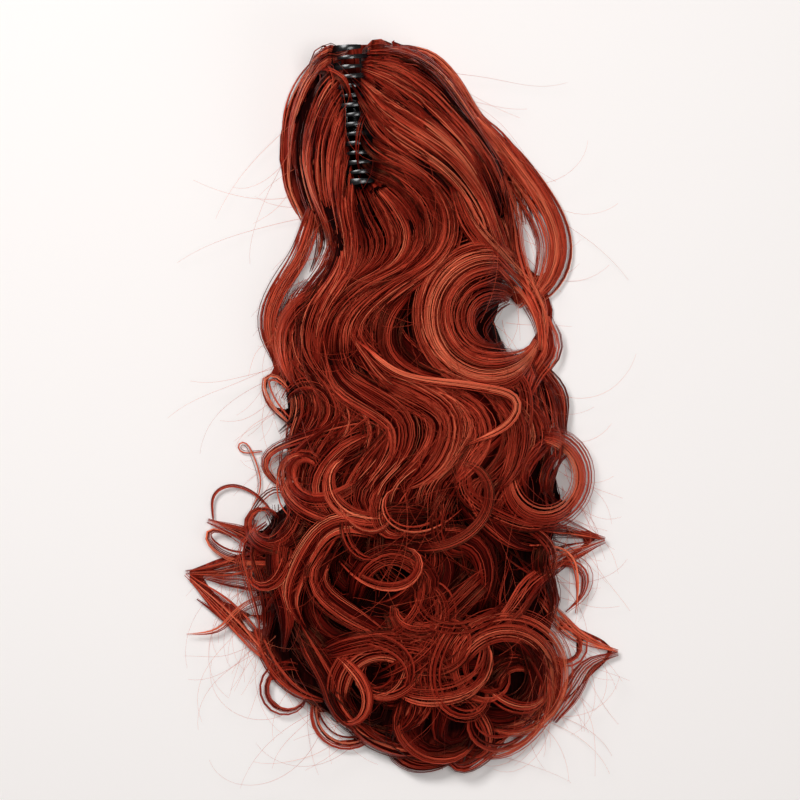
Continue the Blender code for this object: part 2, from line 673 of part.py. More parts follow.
def hinge_pin(collection, cutters, finish):
    """The pin through all four ears, with a flat head outside each of the outer two."""
    shank = knuckle_places(-1)[1] + KNUCKLE_WIDTH / 2 + KNUCKLE_GAP / 2
    end = shank + PIN_HEAD_LENGTH
    profile = (
        (end, 0),
        (end, PIN_HEAD_RADIUS),
        (shank, PIN_HEAD_RADIUS),
        (shank, PIN_RADIUS),
        (-shank, PIN_RADIUS),
        (-shank, PIN_HEAD_RADIUS),
        (-end, PIN_HEAD_RADIUS),
        (-end, 0),
    )
    draft = turned("hinge_pin_draft", profile, cutters, finish)
    return mesh_of(draft, "hinge_pin", collection, finish)


def spring(collection, cutters, finish):
    """The coil round the pin, with its fixed leg along the left grip's inner face."""
    radius = PIN_RADIUS + SPRING_CLEARANCE + SPRING_WIRE_RADIUS
    pitch = SPRING_WIRE_RADIUS * SPRING_PITCH_SHARE
    start = SPRING_LEG_ANGLE
    turns = SPRING_TURNS + SPRING_EXTRA_TURN
    steps = round(turns * SPRING_SIDES)
    route = []
    for i in range(steps + 1):
        share = i / steps
        angle = start + 2 * math.pi * turns * share
        route.append((radius * math.cos(angle), pitch * turns * (share - 0.5), radius * math.sin(angle)))
    lean = Vector((-math.sin(GRIP_SPREAD), 0, -math.cos(GRIP_SPREAD)))
    first = Vector(route[0]) + lean * SPRING_LEG
    curve = bpy.data.curves.new("spring", "CURVE")
    curve.dimensions = "3D"
    curve.bevel_depth = SPRING_WIRE_RADIUS
    curve.bevel_resolution = 1
    curve.use_fill_caps = True
    spline = curve.splines.new("POLY")
    points = [tuple(first), *route]
    spline.points.add(len(points) - 1)
    for point, place in zip(spline.points, points):
        point.co = (*place, 1)
    draft = new_object("spring_draft", curve, cutters)
    return mesh_of(draft, "spring", collection, finish)


def weft(name, side, collection, finish):
    """The sewn band of hair roots on the outside of one jaw's shell."""
    inner = JAW_RADIUS + GAP
    outer = inner + WEFT_THICKNESS
    centre = (0.0, JAW_RISE)
    ring = arc(centre, inner, WEFT_LOW_ANGLE, JAW_EDGE_ANGLE, WEFT_STEPS)
    ring += arc(centre, outer, JAW_EDGE_ANGLE, WEFT_LOW_ANGLE, WEFT_STEPS)
    ring = [(side * x, z) for x, z in ring]
    made = outline_plate(name, [ring], CLIP_LENGTH - 2 * END_TOOTH_WIDTH, collection)
    made.data.materials.append(finish)
    return made


def shade(obj):
    obj.data.shade_smooth()
    obj.data.set_sharp_from_angle(angle=SHARP_ANGLE)


def main():
    clear_scene()
    parts = new_collection("ponytail_hairpiece")
    cutters = new_collection("cutters")
    cutters.hide_render = True
    red = material("synthetic hair", HAIR_RED, 0.42)
    black = material("moulded plastic", CLIP_BLACK, 0.22)
    sewn = material("sewn weft", WEFT_BROWN, 0.85)
    steel = material("spring steel", STEEL, 0.30, 1.0)

    clip_frame = bpy.data.objects.new("clip_frame", None)
    parts.objects.link(clip_frame)
    clip_frame.location = (across(CLIP_PLACE[0]), along(CLIP_PLACE[1]), hinge_height())
    clip_frame.rotation_euler = Euler((0, 0, CLIP_LEAN))
    bpy.context.view_layer.update()

    clip_pieces = [
        jaw("jaw_left", -1, parts, cutters, black),
        jaw("jaw_right", 1, parts, cutters, black),
        weft("weft_left", -1, parts, sewn),
        weft("weft_right", 1, parts, sewn),
        hinge_pin(parts, cutters, steel),
        spring(parts, cutters, steel),
    ]
    for piece in clip_pieces:
        piece.parent = clip_frame
    mass = hair(clip_frame.matrix_world.copy(), parts, cutters, red)
    for piece in (*clip_pieces, mass):
        shade(piece)


main()
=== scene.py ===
import json
import math
import bmesh
import bpy
import numpy as np
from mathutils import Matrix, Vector


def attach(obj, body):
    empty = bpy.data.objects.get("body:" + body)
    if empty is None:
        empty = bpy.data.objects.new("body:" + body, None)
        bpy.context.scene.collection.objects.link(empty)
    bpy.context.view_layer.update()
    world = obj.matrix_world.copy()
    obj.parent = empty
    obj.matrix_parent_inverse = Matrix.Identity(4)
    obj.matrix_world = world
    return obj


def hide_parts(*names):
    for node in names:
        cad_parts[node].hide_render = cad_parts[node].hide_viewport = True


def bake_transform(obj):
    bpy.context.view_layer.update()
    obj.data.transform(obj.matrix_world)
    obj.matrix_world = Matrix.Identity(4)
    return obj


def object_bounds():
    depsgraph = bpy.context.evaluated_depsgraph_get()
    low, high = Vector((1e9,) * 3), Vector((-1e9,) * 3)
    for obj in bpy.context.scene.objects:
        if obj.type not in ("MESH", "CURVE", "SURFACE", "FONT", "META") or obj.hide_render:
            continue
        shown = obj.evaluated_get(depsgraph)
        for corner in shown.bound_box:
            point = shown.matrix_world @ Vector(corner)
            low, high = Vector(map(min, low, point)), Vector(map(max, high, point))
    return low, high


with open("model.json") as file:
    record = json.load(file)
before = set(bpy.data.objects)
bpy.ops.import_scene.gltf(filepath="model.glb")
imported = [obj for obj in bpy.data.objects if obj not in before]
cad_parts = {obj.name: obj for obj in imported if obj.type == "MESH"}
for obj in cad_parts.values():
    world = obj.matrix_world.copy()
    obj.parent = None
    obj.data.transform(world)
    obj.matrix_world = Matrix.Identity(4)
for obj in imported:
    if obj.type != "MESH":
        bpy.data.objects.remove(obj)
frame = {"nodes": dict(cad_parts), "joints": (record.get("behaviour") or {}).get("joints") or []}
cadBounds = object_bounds()
hinge = frame["joints"][0]
hingePlace = Vector(hinge["pos_m"])
clipAxis = Vector(hinge["axis"]).normalized()
clipSide = Vector((clipAxis.y, -clipAxis.x, 0))  # level, towards the moving jaw
luck = np.random.default_rng(41)


# Small helpers


def linearColour(code):
    parts = [int(code[i:i + 2], 16) / 255 for i in (0, 2, 4)]
    return (*[p / 12.92 if p <= 0.04045 else ((p + 0.055) / 1.055) ** 2.4 for p in parts], 1)


def setValues(node, values):
    for name, value in values.items():
        node.inputs[name].default_value = value


def addNode(tree, kind, values=None, links=None, settings=None):
    node = tree.nodes.new(kind)
    for name, value in (settings or {}).items():
        setattr(node, name, value)
    setValues(node, values or {})
    for name, socket in (links or {}).items():
        tree.links.new(socket, node.inputs[name])
    return node


def setRamp(node, stops):
    ramp = node.color_ramp
    while len(ramp.elements) < len(stops):
        ramp.elements.new(0.5)
    for element, (place, code) in zip(ramp.elements, stops):
        element.position = place
        element.color = linearColour(code)


def newMaterial(name):
    made = bpy.data.materials.new(name)
    made.use_nodes = True
    return made, made.node_tree, made.node_tree.nodes["Principled BSDF"]


# Colour from a pattern, and relief where a groove is given
def patternFinish(tree, shader, place, pattern, stops, groove=None):
    noise = addNode(tree, "ShaderNodeTexNoise", pattern, {"Vector": place})
    ramp = addNode(tree, "ShaderNodeValToRGB", links={"Fac": noise.outputs["Fac"]})
    setRamp(ramp, stops)
    tree.links.new(ramp.outputs["Color"], shader.inputs["Base Color"])
    if groove:
        bump = addNode(tree, "ShaderNodeBump", groove, {"Height": noise.outputs["Fac"]})
        tree.links.new(bump.outputs["Normal"], shader.inputs["Normal"])
    return noise, ramp


def patternScale(millimetres):
    return 1000 / millimetres


def deselectAll():
    for item in list(bpy.context.selected_objects):
        item.select_set(False)


def makeActive(piece):
    deselectAll()
    piece.select_set(True)
    bpy.context.view_layer.objects.active = piece


# Camera, floor and light

studio = {
    "metresPerPixel": 0.520 / 738,  # the hair is 738 pixels long in the photo
    "photoSize": 800,
    "middlePixel": (401, 409),  # the pixel over the origin
    "sensorWidth": 36,
    "cameraHeight": 2.4,
    "focusHeight": 0.03,
    "floorColour": "FBF7F5",
    "floorSize": 6.0,
    "roomColour": "FFF9F6",
    "roomStrength": 0.15,
    "lightsAimAt": (0, 0.02, 0.03),
}

# Place, size and power
softboxes = {
    "keySoftbox": ((-0.8, 1.0, 1.9), 0.8, 33),
    "topSoftbox": ((0.35, 0.1, 2.2), 0.6, 13),
    "fillSoftbox": ((1.5, -0.9, 1.4), 1.2, 6),
}


def setCamera():
    step = studio["metresPerPixel"]
    half = studio["photoSize"] / 2
    x = (half - studio["middlePixel"][0]) * step
    y = (studio["middlePixel"][1] - half) * step
    bpy.ops.object.camera_add(location=(x, y, studio["cameraHeight"]), rotation=(0, 0, 0))
    camera = bpy.context.object
    camera.name = "photoCamera"
    camera.data.sensor_width = studio["sensorWidth"]
    reach = studio["cameraHeight"] - studio["focusHeight"]
    camera.data.lens = studio["sensorWidth"] * reach / (studio["photoSize"] * step)
    bpy.context.scene.camera = camera


def setFloor():
    deselectAll()
    bpy.ops.mesh.primitive_plane_add(size=studio["floorSize"], location=(0, 0, 0))
    floor = bpy.context.object
    floor.name = "paleFloor"
    # Matt laminate scatters the light that falls on it: near white, with soft shadows and no gloss
    made, tree, shader = newMaterial("matt laminated board")
    colour = linearColour(studio["floorColour"])
    setValues(shader, {"Base Color": colour, "Roughness": 0.9, "Specular IOR Level": 0.1})
    floor.data.materials.append(made)


def setLight():
    world = bpy.data.worlds.new("softRoom")
    world.use_nodes = True
    background = world.node_tree.nodes["Background"]
    setValues(background, {"Color": linearColour(studio["roomColour"]), "Strength": studio["roomStrength"]})
    bpy.context.scene.world = world
    for name, (place, size, power) in softboxes.items():
        deselectAll()
        bpy.ops.object.light_add(type="AREA", location=place)
        light = bpy.context.object
        light.name = name
        light.data.size = size
        light.data.energy = power
        aim = Vector(studio["lightsAimAt"]) - Vector(place)
        light.rotation_euler = aim.to_track_quat("-Z", "Y").to_euler()
    bpy.context.scene.view_settings.view_transform = "Standard"
    bpy.context.scene.view_settings.look = "None"


setCamera()
setFloor()
setLight()
print("studio ready")


# Hair form: the same shares of length and width as the solid hair's

hairForm = {
    "length": 0.520,
    "width": 0.309,
    "edgeHeight": 0.013,
    "crownHeight": hingePlace.z + 0.044,
    "fullness": 2.6,
    "frontEnd": -0.252,  # the mass's ends along the hair
    "clipEnd": 0.256,
    "strand": 0.00032,  # radius of a strand, which stands for a few hairs
    "step": 0.0066,  # along a strand
    "smallStep": 0.0046,  # in locks up to smallLock wide
    "smallLock": 2.1,
    "fineStep": 0.0026,  # in tendrils up to fineLock wide
    "fineLock": 0.6,
    "curlStep": 0.0058,
    "flatness": 0.42,  # a lock's half thickness to its half width
    "uvLength": 0.6,  # metres of strand for one unit of the UV map
}

# Where hair bridges the clip, from the hinge
clipCover = {
    "top": 0.0155,
    "levelLength": 0.050,  # past this, the hair slopes down
    "slope": 1.2,
    "halfLength": 0.062,
    "slit": 0.0115,  # half its width
    "openLength": 0.052,  # the part that stays bare
    "openWidth": 0.0125,
}

# Down, left edge, right edge, height as a share of the crown's
sections = np.array([
    (0, 35, 49, 0.42), (1.5, 30.5, 56.5, 0.86), (5.5, 26.5, 62.5, 0.99), (11, 24, 68.5, 1.00),
    (17, 24, 75, 0.98), (22.5, 27, 76, 0.92), (28, 34.5, 75.5, 0.84), (31, 32.5, 75.8, 0.82),
    (34, 24, 76, 0.80), (38, 22, 74, 0.80), (42, 22, 77, 0.81), (47.5, 20.5, 85.5, 0.82),
    (54, 21.5, 87, 0.86), (61, 23, 89, 0.88), (68, 13, 87.5, 0.86), (74.5, 13, 86, 0.82),
    (81.5, 18, 86, 0.76), (88, 24, 84.5, 0.68), (93.5, 34, 79, 0.56), (98, 50, 71, 0.36),
])


def atShares(across, down):
    return np.array([(across / 100 - 0.5) * hairForm["width"], (0.5 - down / 100) * hairForm["length"]])


def sectionValue(points, column):
    return np.interp((0.5 - points[..., 1] / hairForm["length"]) * 100, sections[:, 0], sections[:, column])


def massOffset(points):  # -1 at the left edge of the mass, 1 at the right
    left = (sectionValue(points, 1) / 100 - 0.5) * hairForm["width"]
    right = (sectionValue(points, 2) / 100 - 0.5) * hairForm["width"]
    return (2 * points[..., 0] - left - right) / (right - left)


def massHeight(points):
    rise = np.maximum(0, sectionValue(points, 3) * hairForm["crownHeight"] - hairForm["edgeHeight"])
    dome = np.clip(1 - np.abs(massOffset(points)) ** hairForm["fullness"], 0, 1)
    return hairForm["edgeHeight"] + rise * np.sqrt(dome)


def clipPlace(points):  # along the clip, and across it towards the moving jaw
    away = points - np.array(hingePlace)[:2]
    return away @ np.array(clipAxis)[:2], away @ np.array(clipSide)[:2]


def clearOfClip(points, height, room):
    form = clipCover
    along, side = np.abs(clipPlace(points))
    arch = np.sqrt(np.maximum(room ** 2 - side ** 2, 0))
    drop = np.maximum(along - form["levelLength"], 0) * form["slope"]
    cover = hingePlace.z + form["top"] + arch - drop
    over = (along < form["halfLength"]) & (side > form["slit"]) & (side < room)
    return np.where(over, np.maximum(height, cover), height)


def overClip(points):
    along, side = np.abs(clipPlace(points))
    return (along < clipCover["openLength"]) & (side < clipCover["openWidth"])


def unit(vectors, tiny=1e-9):
    return vectors / (np.linalg.norm(vectors, axis=-1)[..., None] + tiny)


def travelledAlong(points):
    return np.concatenate([[0], np.cumsum(np.linalg.norm(np.diff(points, axis=0), axis=1))])


def evenSteps(points, step):
    travelled = travelledAlong(points)
    count = max(5, int(round(travelled[-1] / step)) + 1)
    stops = np.linspace(0, travelled[-1], count)
    return np.stack([np.interp(stops, travelled, points[:, i]) for i in range(points.shape[1])], axis=1)


def smoothed(route, rounds):
    for i in range(rounds):
        route[1:-1] = (route[:-2] + 2 * route[1:-1] + route[2:]) / 4
    return route


def fallRoute(places, step):  # a smooth curve through the places
    spots = [atShares(*place) for place in places]
    spots = [2 * spots[0] - spots[1], *spots, 2 * spots[-1] - spots[-2]]
    t = np.linspace(0, 1, 12, endpoint=False)[:, None]
    runs = []
    for a, b, c, d in zip(spots, spots[1:], spots[2:], spots[3:]):
        cubic = (3 * b - a - 3 * c + d) * t ** 3
        runs.append(0.5 * (2 * b + (c - a) * t + (2 * a - 5 * b + 4 * c - d) * t ** 2 + cubic))
    runs.append(spots[-2][None, :])
    route = evenSteps(np.concatenate(runs), min(0.004, step))
    return evenSteps(smoothed(route, 3), step)


def curlRoute(across, down, firstRadius, lastRadius, firstAngle, sweep):
    share = np.linspace(0, 1, 60)
    radius = (firstRadius + (lastRadius - firstRadius) * share) / 100 * hairForm["width"]
    angle = -np.radians(firstAngle + sweep * share)
    turns = np.stack([radius * np.cos(angle), radius * np.sin(angle)], axis=1)
    return evenSteps(atShares(across, down) + turns, hairForm["curlStep"])


# Falling locks: half width, level at root and tip, tone, strands, then the places that each runs through.
# Widths are hundredths of the hair's width, and a level is a share of its height there.
falls = {
    "leftEdgeTail": (2.3, 0.80, 0.60, 0.50, 34, (31, 21), (28.6, 25.5), (26.6, 29), (21.5, 34),
        (19.3, 38.5), (22, 45)),
    "leftUnderTail": (1.6, 0.62, 0.50, 0.40, 22, (29.5, 22.5), (26, 29.5), (20.5, 34), (18.6, 38.5),
        (20, 43)),
    "leftShoulder": (3.6, 0.94, 0.92, 0.52, 44, (33, 33.2), (24.5, 38.5), (24.5, 44), (27, 48)),
    "leftBand": (3.6, 0.96, 0.92, 0.52, 36, (34.5, 33), (31, 37), (29.5, 41.5), (32, 46)),
    "rightLoop": (3.5, 0.84, 0.70, 0.58, 60, (67, 10.5), (75, 16.5), (82, 22.5), (85, 28), (82.5, 33),
        (77, 36)),
    "rightLoopEdge": (2.2, 0.60, 0.52, 0.48, 34, (70, 12), (79, 18), (85.5, 24), (87, 29), (84, 33.5),
        (79, 36.5)),
    "crossBand": (2.8, 0.99, 0.84, 0.62, 44, (62, 20), (66, 25.5), (73, 30), (79, 33.5), (82, 37.5),
        (82, 42)),
    "gapLock": (1.2, 0.92, 0.90, 0.45, 18, (73, 18.5), (76, 24), (77, 28.5), (80, 34), (83, 38), (83, 43)),
    "hollowBand": (3.2, 0.94, 0.98, 0.36, 34, (53, 33.5), (47.5, 37.5), (47, 42), (52.5, 45), (61, 46)),
    "archLeft": (3.6, 1.00, 0.96, 0.55, 40, (34.5, 42.5), (37.5, 46), (50, 51), (50.5, 55.5), (46, 59)),
    "archMiddle": (3.8, 1.01, 0.96, 0.62, 44, (44.5, 45.5), (59, 50), (60.5, 54), (56, 58.5), (49.5, 61)),
    "archRight": (3.6, 0.98, 0.94, 0.55, 40, (59, 47), (67, 49.5), (70, 53.5), (66, 58), (59, 61.5)),
    "rightMiddleFall": (3.4, 0.96, 0.92, 0.45, 34, (69, 46.5), (76, 52), (75, 58), (69.5, 62.5)),
    "rightFlank": (2.8, 0.88, 0.84, 0.40, 28, (83, 37.5), (84.5, 42), (80, 46), (78, 51)),
    "rightEdgeFall": (2.4, 0.84, 0.72, 0.36, 24, (81.5, 43.5), (86.5, 48), (87.5, 53.5)),
    "rightOuterArc": (2.2, 0.98, 0.84, 0.58, 28, (76.5, 50.5), (65, 57), (65, 62), (79.5, 66), (89, 64)),
    "rightSpike": (2.0, 0.80, 0.60, 0.55, 26, (76, 65.4), (87, 66.4), (97, 67.8)),
    "rightSpikeBack": (2.4, 0.86, 0.60, 0.50, 30, (76, 79), (79.5, 74), (86, 70.6), (97, 68)),
    "rightLowSpike": (1.8, 0.80, 0.50, 0.56, 24, (82, 75.5), (89, 80.2), (94, 82), (100, 83.2)),
    "rightLowSpikeBack": (2.2, 0.76, 0.50, 0.50, 28, (84.5, 92.5), (89.5, 88), (93, 84.8), (100, 83.4)),
    "rightLowFlank": (3.2, 0.90, 0.84, 0.40, 32, (84, 66.5), (82, 71), (85, 76), (83, 80)),
    "bottomLip": (2.0, 0.60, 0.56, 0.50, 24, (49, 94), (48, 96.5), (53, 98.5), (60.5, 98), (66, 95.5)),
    "bottomTip": (1.8, 0.70, 0.58, 0.50, 20, (74.5, 93.5), (70.5, 96.5), (64.5, 99), (61, 98), (64, 95)),
    "leftSmallLoop": (1.2, 0.72, 0.70, 0.50, 12, (25, 52), (20, 49), (18.5, 45.5), (22.5, 46),
        (25.5, 48.5)),
    "leftTuck": (1.6, 0.96, 0.66, 0.52, 20, (45, 51.5), (36, 52.5), (20, 56), (19.5, 59), (23.5, 61)),
    "leftHook": (1.6, 0.92, 0.80, 0.55, 20, (31, 54.5), (25.5, 57), (23.5, 61), (26.5, 64.5), (31.5, 66.5)),
    "leftSweep": (3.6, 0.96, 0.90, 0.50, 36, (45, 53), (36, 56), (31, 61), (36, 66)),
    "middleTuck": (3.2, 0.98, 0.92, 0.46, 34, (46, 58), (41, 62), (46, 66.5)),
    "leftBigArc": (2.8, 0.98, 0.86, 0.62, 36, (47, 67), (39, 65), (31, 67), (25, 75), (28.5, 80)),
    "leftSpike": (2.6, 0.92, 0.56, 0.54, 38, (30, 66.5), (20, 69.6), (10, 71.8), (0.4, 72.4)),
    "leftSpikeShade": (2.4, 0.84, 0.56, 0.30, 26, (30, 72), (20, 73.4), (10, 73.2), (2, 72.6)),
    "leftSpikeBack": (2.0, 0.84, 0.54, 0.56, 28, (20, 84.5), (12.8, 79.6), (6.3, 75.8), (0.4, 72.6)),
    "leftUpperSpike": (2.3, 0.90, 0.66, 0.52, 34, (28, 69.5), (19, 68.5), (13, 67), (5.5, 65.3)),
    "leftLowSpike": (1.3, 0.70, 0.50, 0.54, 16, (19.5, 83), (11.5, 79.4), (3, 76)),
    "leftSideCurl": (1.3, 0.86, 0.70, 0.52, 18, (24.7, 70.5), (12, 70.5), (6.5, 68.8), (4.8, 67),
        (7, 66.2), (11, 67.5)),
    "leftFlank": (2.6, 0.90, 0.80, 0.50, 40, (20, 66), (15, 69), (17.5, 74), (18.8, 79), (17.5, 83)),
    "leftInnerFlank": (2.6, 0.92, 0.84, 0.48, 40, (27, 64), (22, 68), (22, 73), (24, 78), (23, 83)),
    "leftWisps": (1.1, 0.80, 0.60, 0.58, 14, (27, 75.9), (19.6, 75.6), (13, 77.5), (8, 80.4), (0.6, 80.9)),
    "leftTendril": (0.35, 0.30, 0.30, 0.55, 6, (18, 55.8), (13.2, 56), (12.3, 54.9), (14.6, 54.8),
        (17.6, 60.3), (14.4, 65)),
    "leftArchTendril": (0.45, 0.40, 0.40, 0.60, 8, (6.8, 65.5), (6.6, 62.3), (8.6, 60.9), (12.1, 60.6),
        (17, 62), (23, 66)),
    "leftDarkArch": (0.8, 0.60, 0.60, 0.32, 12, (15.5, 64.4), (18.3, 61.9), (21.4, 60.8), (24, 61.4),
        (24.6, 63), (23, 65.8)),
    "rightSideLoop": (1.3, 0.84, 0.66, 0.52, 18, (76, 68.5), (84, 68.5), (89.5, 70), (91, 74), (90.3, 78)),
    "rightSideCurl": (1.2, 0.80, 0.60, 0.52, 16, (83, 71.5), (89, 70.6), (93, 72.5), (92, 75.6),
        (88, 77.8)),
    "slitCover": (1.3, 1.02, 1.00, 0.52, 16, (30, 4.6), (34.5, 4.9), (37.6, 6.4), (38.8, 9)),
    "jawCover": (1.5, 1.02, 1.00, 0.56, 22, (38.7, 5.9), (41, 7.4), (44.5, 10.6), (52, 14.6)),
    "jawPatch": (1.8, 1.02, 1.00, 0.52, 26, (41.2, 8.6), (43.2, 11.8), (47, 14.4), (55, 17.4)),
    "jawFringe": (1.2, 1.01, 1.00, 0.48, 16, (40.2, 12.5), (43, 15.6), (48, 17.4), (55, 20)),
    "jawLowFringe": (1.2, 1.01, 1.00, 0.50, 16, (40.6, 16.8), (43.4, 18.6), (48.5, 19.8), (54, 23)),
    "ringFill": (2.6, 0.92, 0.86, 0.52, 28, (85.5, 53), (79.5, 55.2), (77, 58.5), (79, 62.5)),
    "ringShade": (2.4, 0.86, 0.80, 0.32, 26, (88, 55.5), (84, 57.5), (82.5, 61), (86, 63)),
    "endLow": (1.8, 0.24, 0.24, 0.44, 34, (28.5, 6.4), (34, 3.8), (44, 3.0), (54, 3.8), (60, 6)),
    "endLower": (1.6, 0.12, 0.12, 0.52, 30, (29, 5), (35, 2.6), (44, 1.9), (53, 2.6), (59, 4.8)),
    "curlHollow": (2.2, 0.86, 0.70, 0.40, 26, (66.5, 33.2), (62.5, 37), (64.5, 41), (71, 43.2), (77, 43.4)),
    "slitLock": (0.7, 1.0, 1.0, 0.50, 10, (44.5, 9), (41.6, 10.6), (40.6, 13), (40, 16), (41, 19)),
    "lowerLeftFall": (2.2, 0.86, 0.78, 0.46, 26, (17, 80), (20.5, 85), (26.5, 88.5), (34.5, 90)),
    "lowInner": (2.4, 0.98, 0.92, 0.60, 30, (35, 68.5), (31, 72.5), (35, 76), (49.5, 81.5)),
    "lowArch": (2.8, 1.00, 0.94, 0.62, 36, (39, 76), (41.5, 71.5), (49, 69.5), (57, 73.5), (50.5, 78)),
    "lowFork": (2.4, 0.98, 0.90, 0.54, 30, (52, 68.5), (60.5, 67), (67.5, 68.5), (69.5, 73), (67.5, 78)),
    "lowRightFall": (2.4, 0.98, 0.88, 0.58, 30, (85.5, 71.5), (79.5, 74), (75.5, 77.5), (67.5, 81)),
    "lowSweep": (2.6, 0.98, 0.92, 0.58, 34, (30.5, 83.5), (39.5, 81.5), (50.5, 81), (60, 83), (64, 87.5)),
    "lowFill": (3.0, 0.94, 0.90, 0.42, 30, (59, 65), (50, 64), (42, 65.5), (37, 69.5)),
    "lowCore": (3.2, 0.96, 0.90, 0.46, 34, (72.5, 70.5), (59, 78.5), (54.5, 84), (58.5, 89.5)),
    "bottomLeftFill": (3.6, 0.92, 0.80, 0.44, 34, (27, 79), (34, 86), (37, 91), (45, 95)),
    "bottomRim": (2.2, 0.86, 0.60, 0.52, 30, (36, 88), (41, 93.5), (48, 96), (55, 96.5), (60, 95)),
    "bottomFront": (2.6, 0.92, 0.62, 0.50, 34, (52, 88), (50, 93), (55, 96.8), (63, 97.2), (69, 94)),
    "bottomRightRim": (2.2, 0.82, 0.62, 0.50, 28, (84, 86), (82.5, 91), (77, 95), (70, 97), (64, 96.5)),
    "bottomMiddleFill": (3.6, 0.94, 0.76, 0.44, 34, (54, 84), (60, 90), (58, 95)),
    "frontTendril": (1.0, 1.06, 1.03, 0.80, 16, (40, 41), (50, 45.5), (66, 47), (76, 48.5), (74, 52),
        (64, 55)),
}

# Curls: half width, level at root and tip, tone, strands, middle's across and down, first and last radius,
# first angle and sweep in degrees, clockwise from above
curls = {
    "bigCurl": (5.0, 1.00, 0.94, 0.66, 84, 70.5, 37.5, 13.2, 12.2, -66, -268),
    "bigCurlInside": (3.6, 0.92, 0.80, 0.52, 50, 70.5, 38, 7.8, 6.0, -50, -250),
    "curlEye": (2.2, 0.84, 0.74, 0.44, 30, 69.6, 38.6, 4.8, 4.0, -85, -185),
    "rightRing": (2.4, 0.98, 0.86, 0.56, 34, 82.5, 59.5, 9.5, 8, -100, 330),
    "rightLowLoop": (1.2, 0.70, 0.58, 0.50, 14, 87.5, 82.5, 4.5, 3.5, -110, 290),
    "bottomRightRing": (3.4, 0.96, 0.84, 0.66, 48, 74, 86.5, 13, 11, 180, 306),
    "bottomRightCore": (2.4, 0.74, 0.66, 0.46, 26, 76.5, 87.5, 6.5, 4, 120, 270),
    "bottomMiddleRing": (2.8, 0.94, 0.84, 0.58, 38, 46, 88, 10.5, 9, 150, 300),
    "bottomLeftLoop": (1.2, 0.66, 0.56, 0.50, 14, 24, 88.5, 6, 4.5, -40, -320),
    "bottomLoop": (1.6, 0.62, 0.54, 0.50, 20, 38, 91.5, 8, 7, 200, -230),
    "leftRing": (1.6, 0.94, 0.80, 0.52, 18, 29, 50, 6, 5, 200, 300),
    "leftUpperCurl": (1.0, 0.80, 0.62, 0.46, 10, 19, 65.5, 4, 3, 20, 320),
}

# Sheets of hair lie between guides: level at root and tip, then places. The crown's start at the clip.
crownRight = {
    "edge": (0.60, 0.50, (41.4, 1.0), (49, 0.1), (57.2, 1.0), (63.3, 4.4), (68, 9), (73.5, 13),
        (79.5, 17), (86, 24)),
    "second": (0.90, 0.76, (41.1, 2.4), (50, 2.2), (58.5, 5.2), (65.6, 10.3), (70.5, 14.8), (74.5, 19),
        (76, 25)),
    "third": (0.98, 0.93, (41, 4.6), (49.8, 7.4), (58, 11.2), (65, 15.5), (69.5, 19.8), (73, 25),
        (76, 29.8)),
    "fourth": (1.00, 0.96, (41, 7), (46, 11), (54, 14), (62, 17.3), (68, 22), (71.5, 27), (74, 31)),
    "fall": (1.00, 0.92, (43.4, 11.5), (50, 15), (59, 18.5), (65.5, 23), (67.5, 28), (64, 33)),
}
crownWave = {
    "first": (1.00, 0.96, (43.6, 13.5), (52, 16.8), (60.5, 20.8), (64, 25.5), (61, 30.5), (53, 34),
        (46.5, 38), (47, 43)),
    "second": (1.00, 0.98, (44, 16.5), (50.9, 17.9), (57.5, 21), (60, 25.5), (56.6, 30.1), (45, 34),
        (37.5, 38.5), (37, 44.5)),
    "third": (1.00, 0.98, (44.2, 19.2), (49.8, 22.4), (53, 26.5), (50, 30.5), (40, 33.8), (34, 38),
        (32.6, 44)),
    "fourth": (1.00, 0.98, (41.8, 20.6), (44.1, 23.7), (47, 27.5), (44.5, 30.6), (37, 33.5), (32, 37.5),
        (29, 42)),
}
crownLeft = {
    "edge": (0.62, 0.50, (38.6, 0.6), (30.6, 1.9), (25.8, 5), (23.2, 8.8), (22.4, 13), (22.8, 19),
        (26, 23.4), (29.5, 25)),
    "second": (0.86, 0.70, (37.2, 2.4), (30, 5), (26, 10), (24.4, 15), (24.4, 20), (28, 24.5), (28.5, 28)),
    "third": (0.98, 0.90, (36.8, 5.1), (32.6, 8), (29.5, 12), (28, 16.5), (30, 21), (33.5, 25.5),
        (34.5, 29), (29, 33.8)),
    "fourth": (1.00, 0.94, (37, 8), (34.5, 11), (32.6, 15), (33, 20), (34.5, 25), (35.5, 29.5),
        (30.5, 34), (24.5, 38.5)),
    "fifth": (1.00, 0.98, (37.8, 13), (36, 17), (35.4, 22), (37, 27), (36.6, 31.5), (32, 36.5), (28.5, 41)),
    "sixth": (1.00, 0.98, (39.8, 20.8), (39.5, 24), (40.5, 28), (38.5, 32.5), (33.5, 37), (31.5, 42)),
}
slitFall = {
    "first": (0.99, 0.96, (35, 18.5), (35.4, 23.7), (37, 27.8), (36, 31.2), (32.6, 35.2), (29.2, 39.3)),
    "second": (1.00, 0.98, (37.6, 19.6), (38.2, 24), (40.2, 28), (39, 31.2), (34.5, 34.6), (31, 39),
        (31, 43)),
    "third": (1.00, 0.98, (40.6, 20.3), (43.2, 23.9), (46.4, 27.6), (44.2, 30.6), (38, 33.3),
        (33.2, 37.2), (33.5, 43)),
}
waveUnder = {
    "first": (0.90, 0.90, (56, 21), (61, 25.5), (58.5, 30.5), (51, 34), (46, 38)),
    "second": (0.90, 0.90, (46, 21.6), (52, 26.5), (49, 30.5), (40, 33.8), (35, 38)),
}
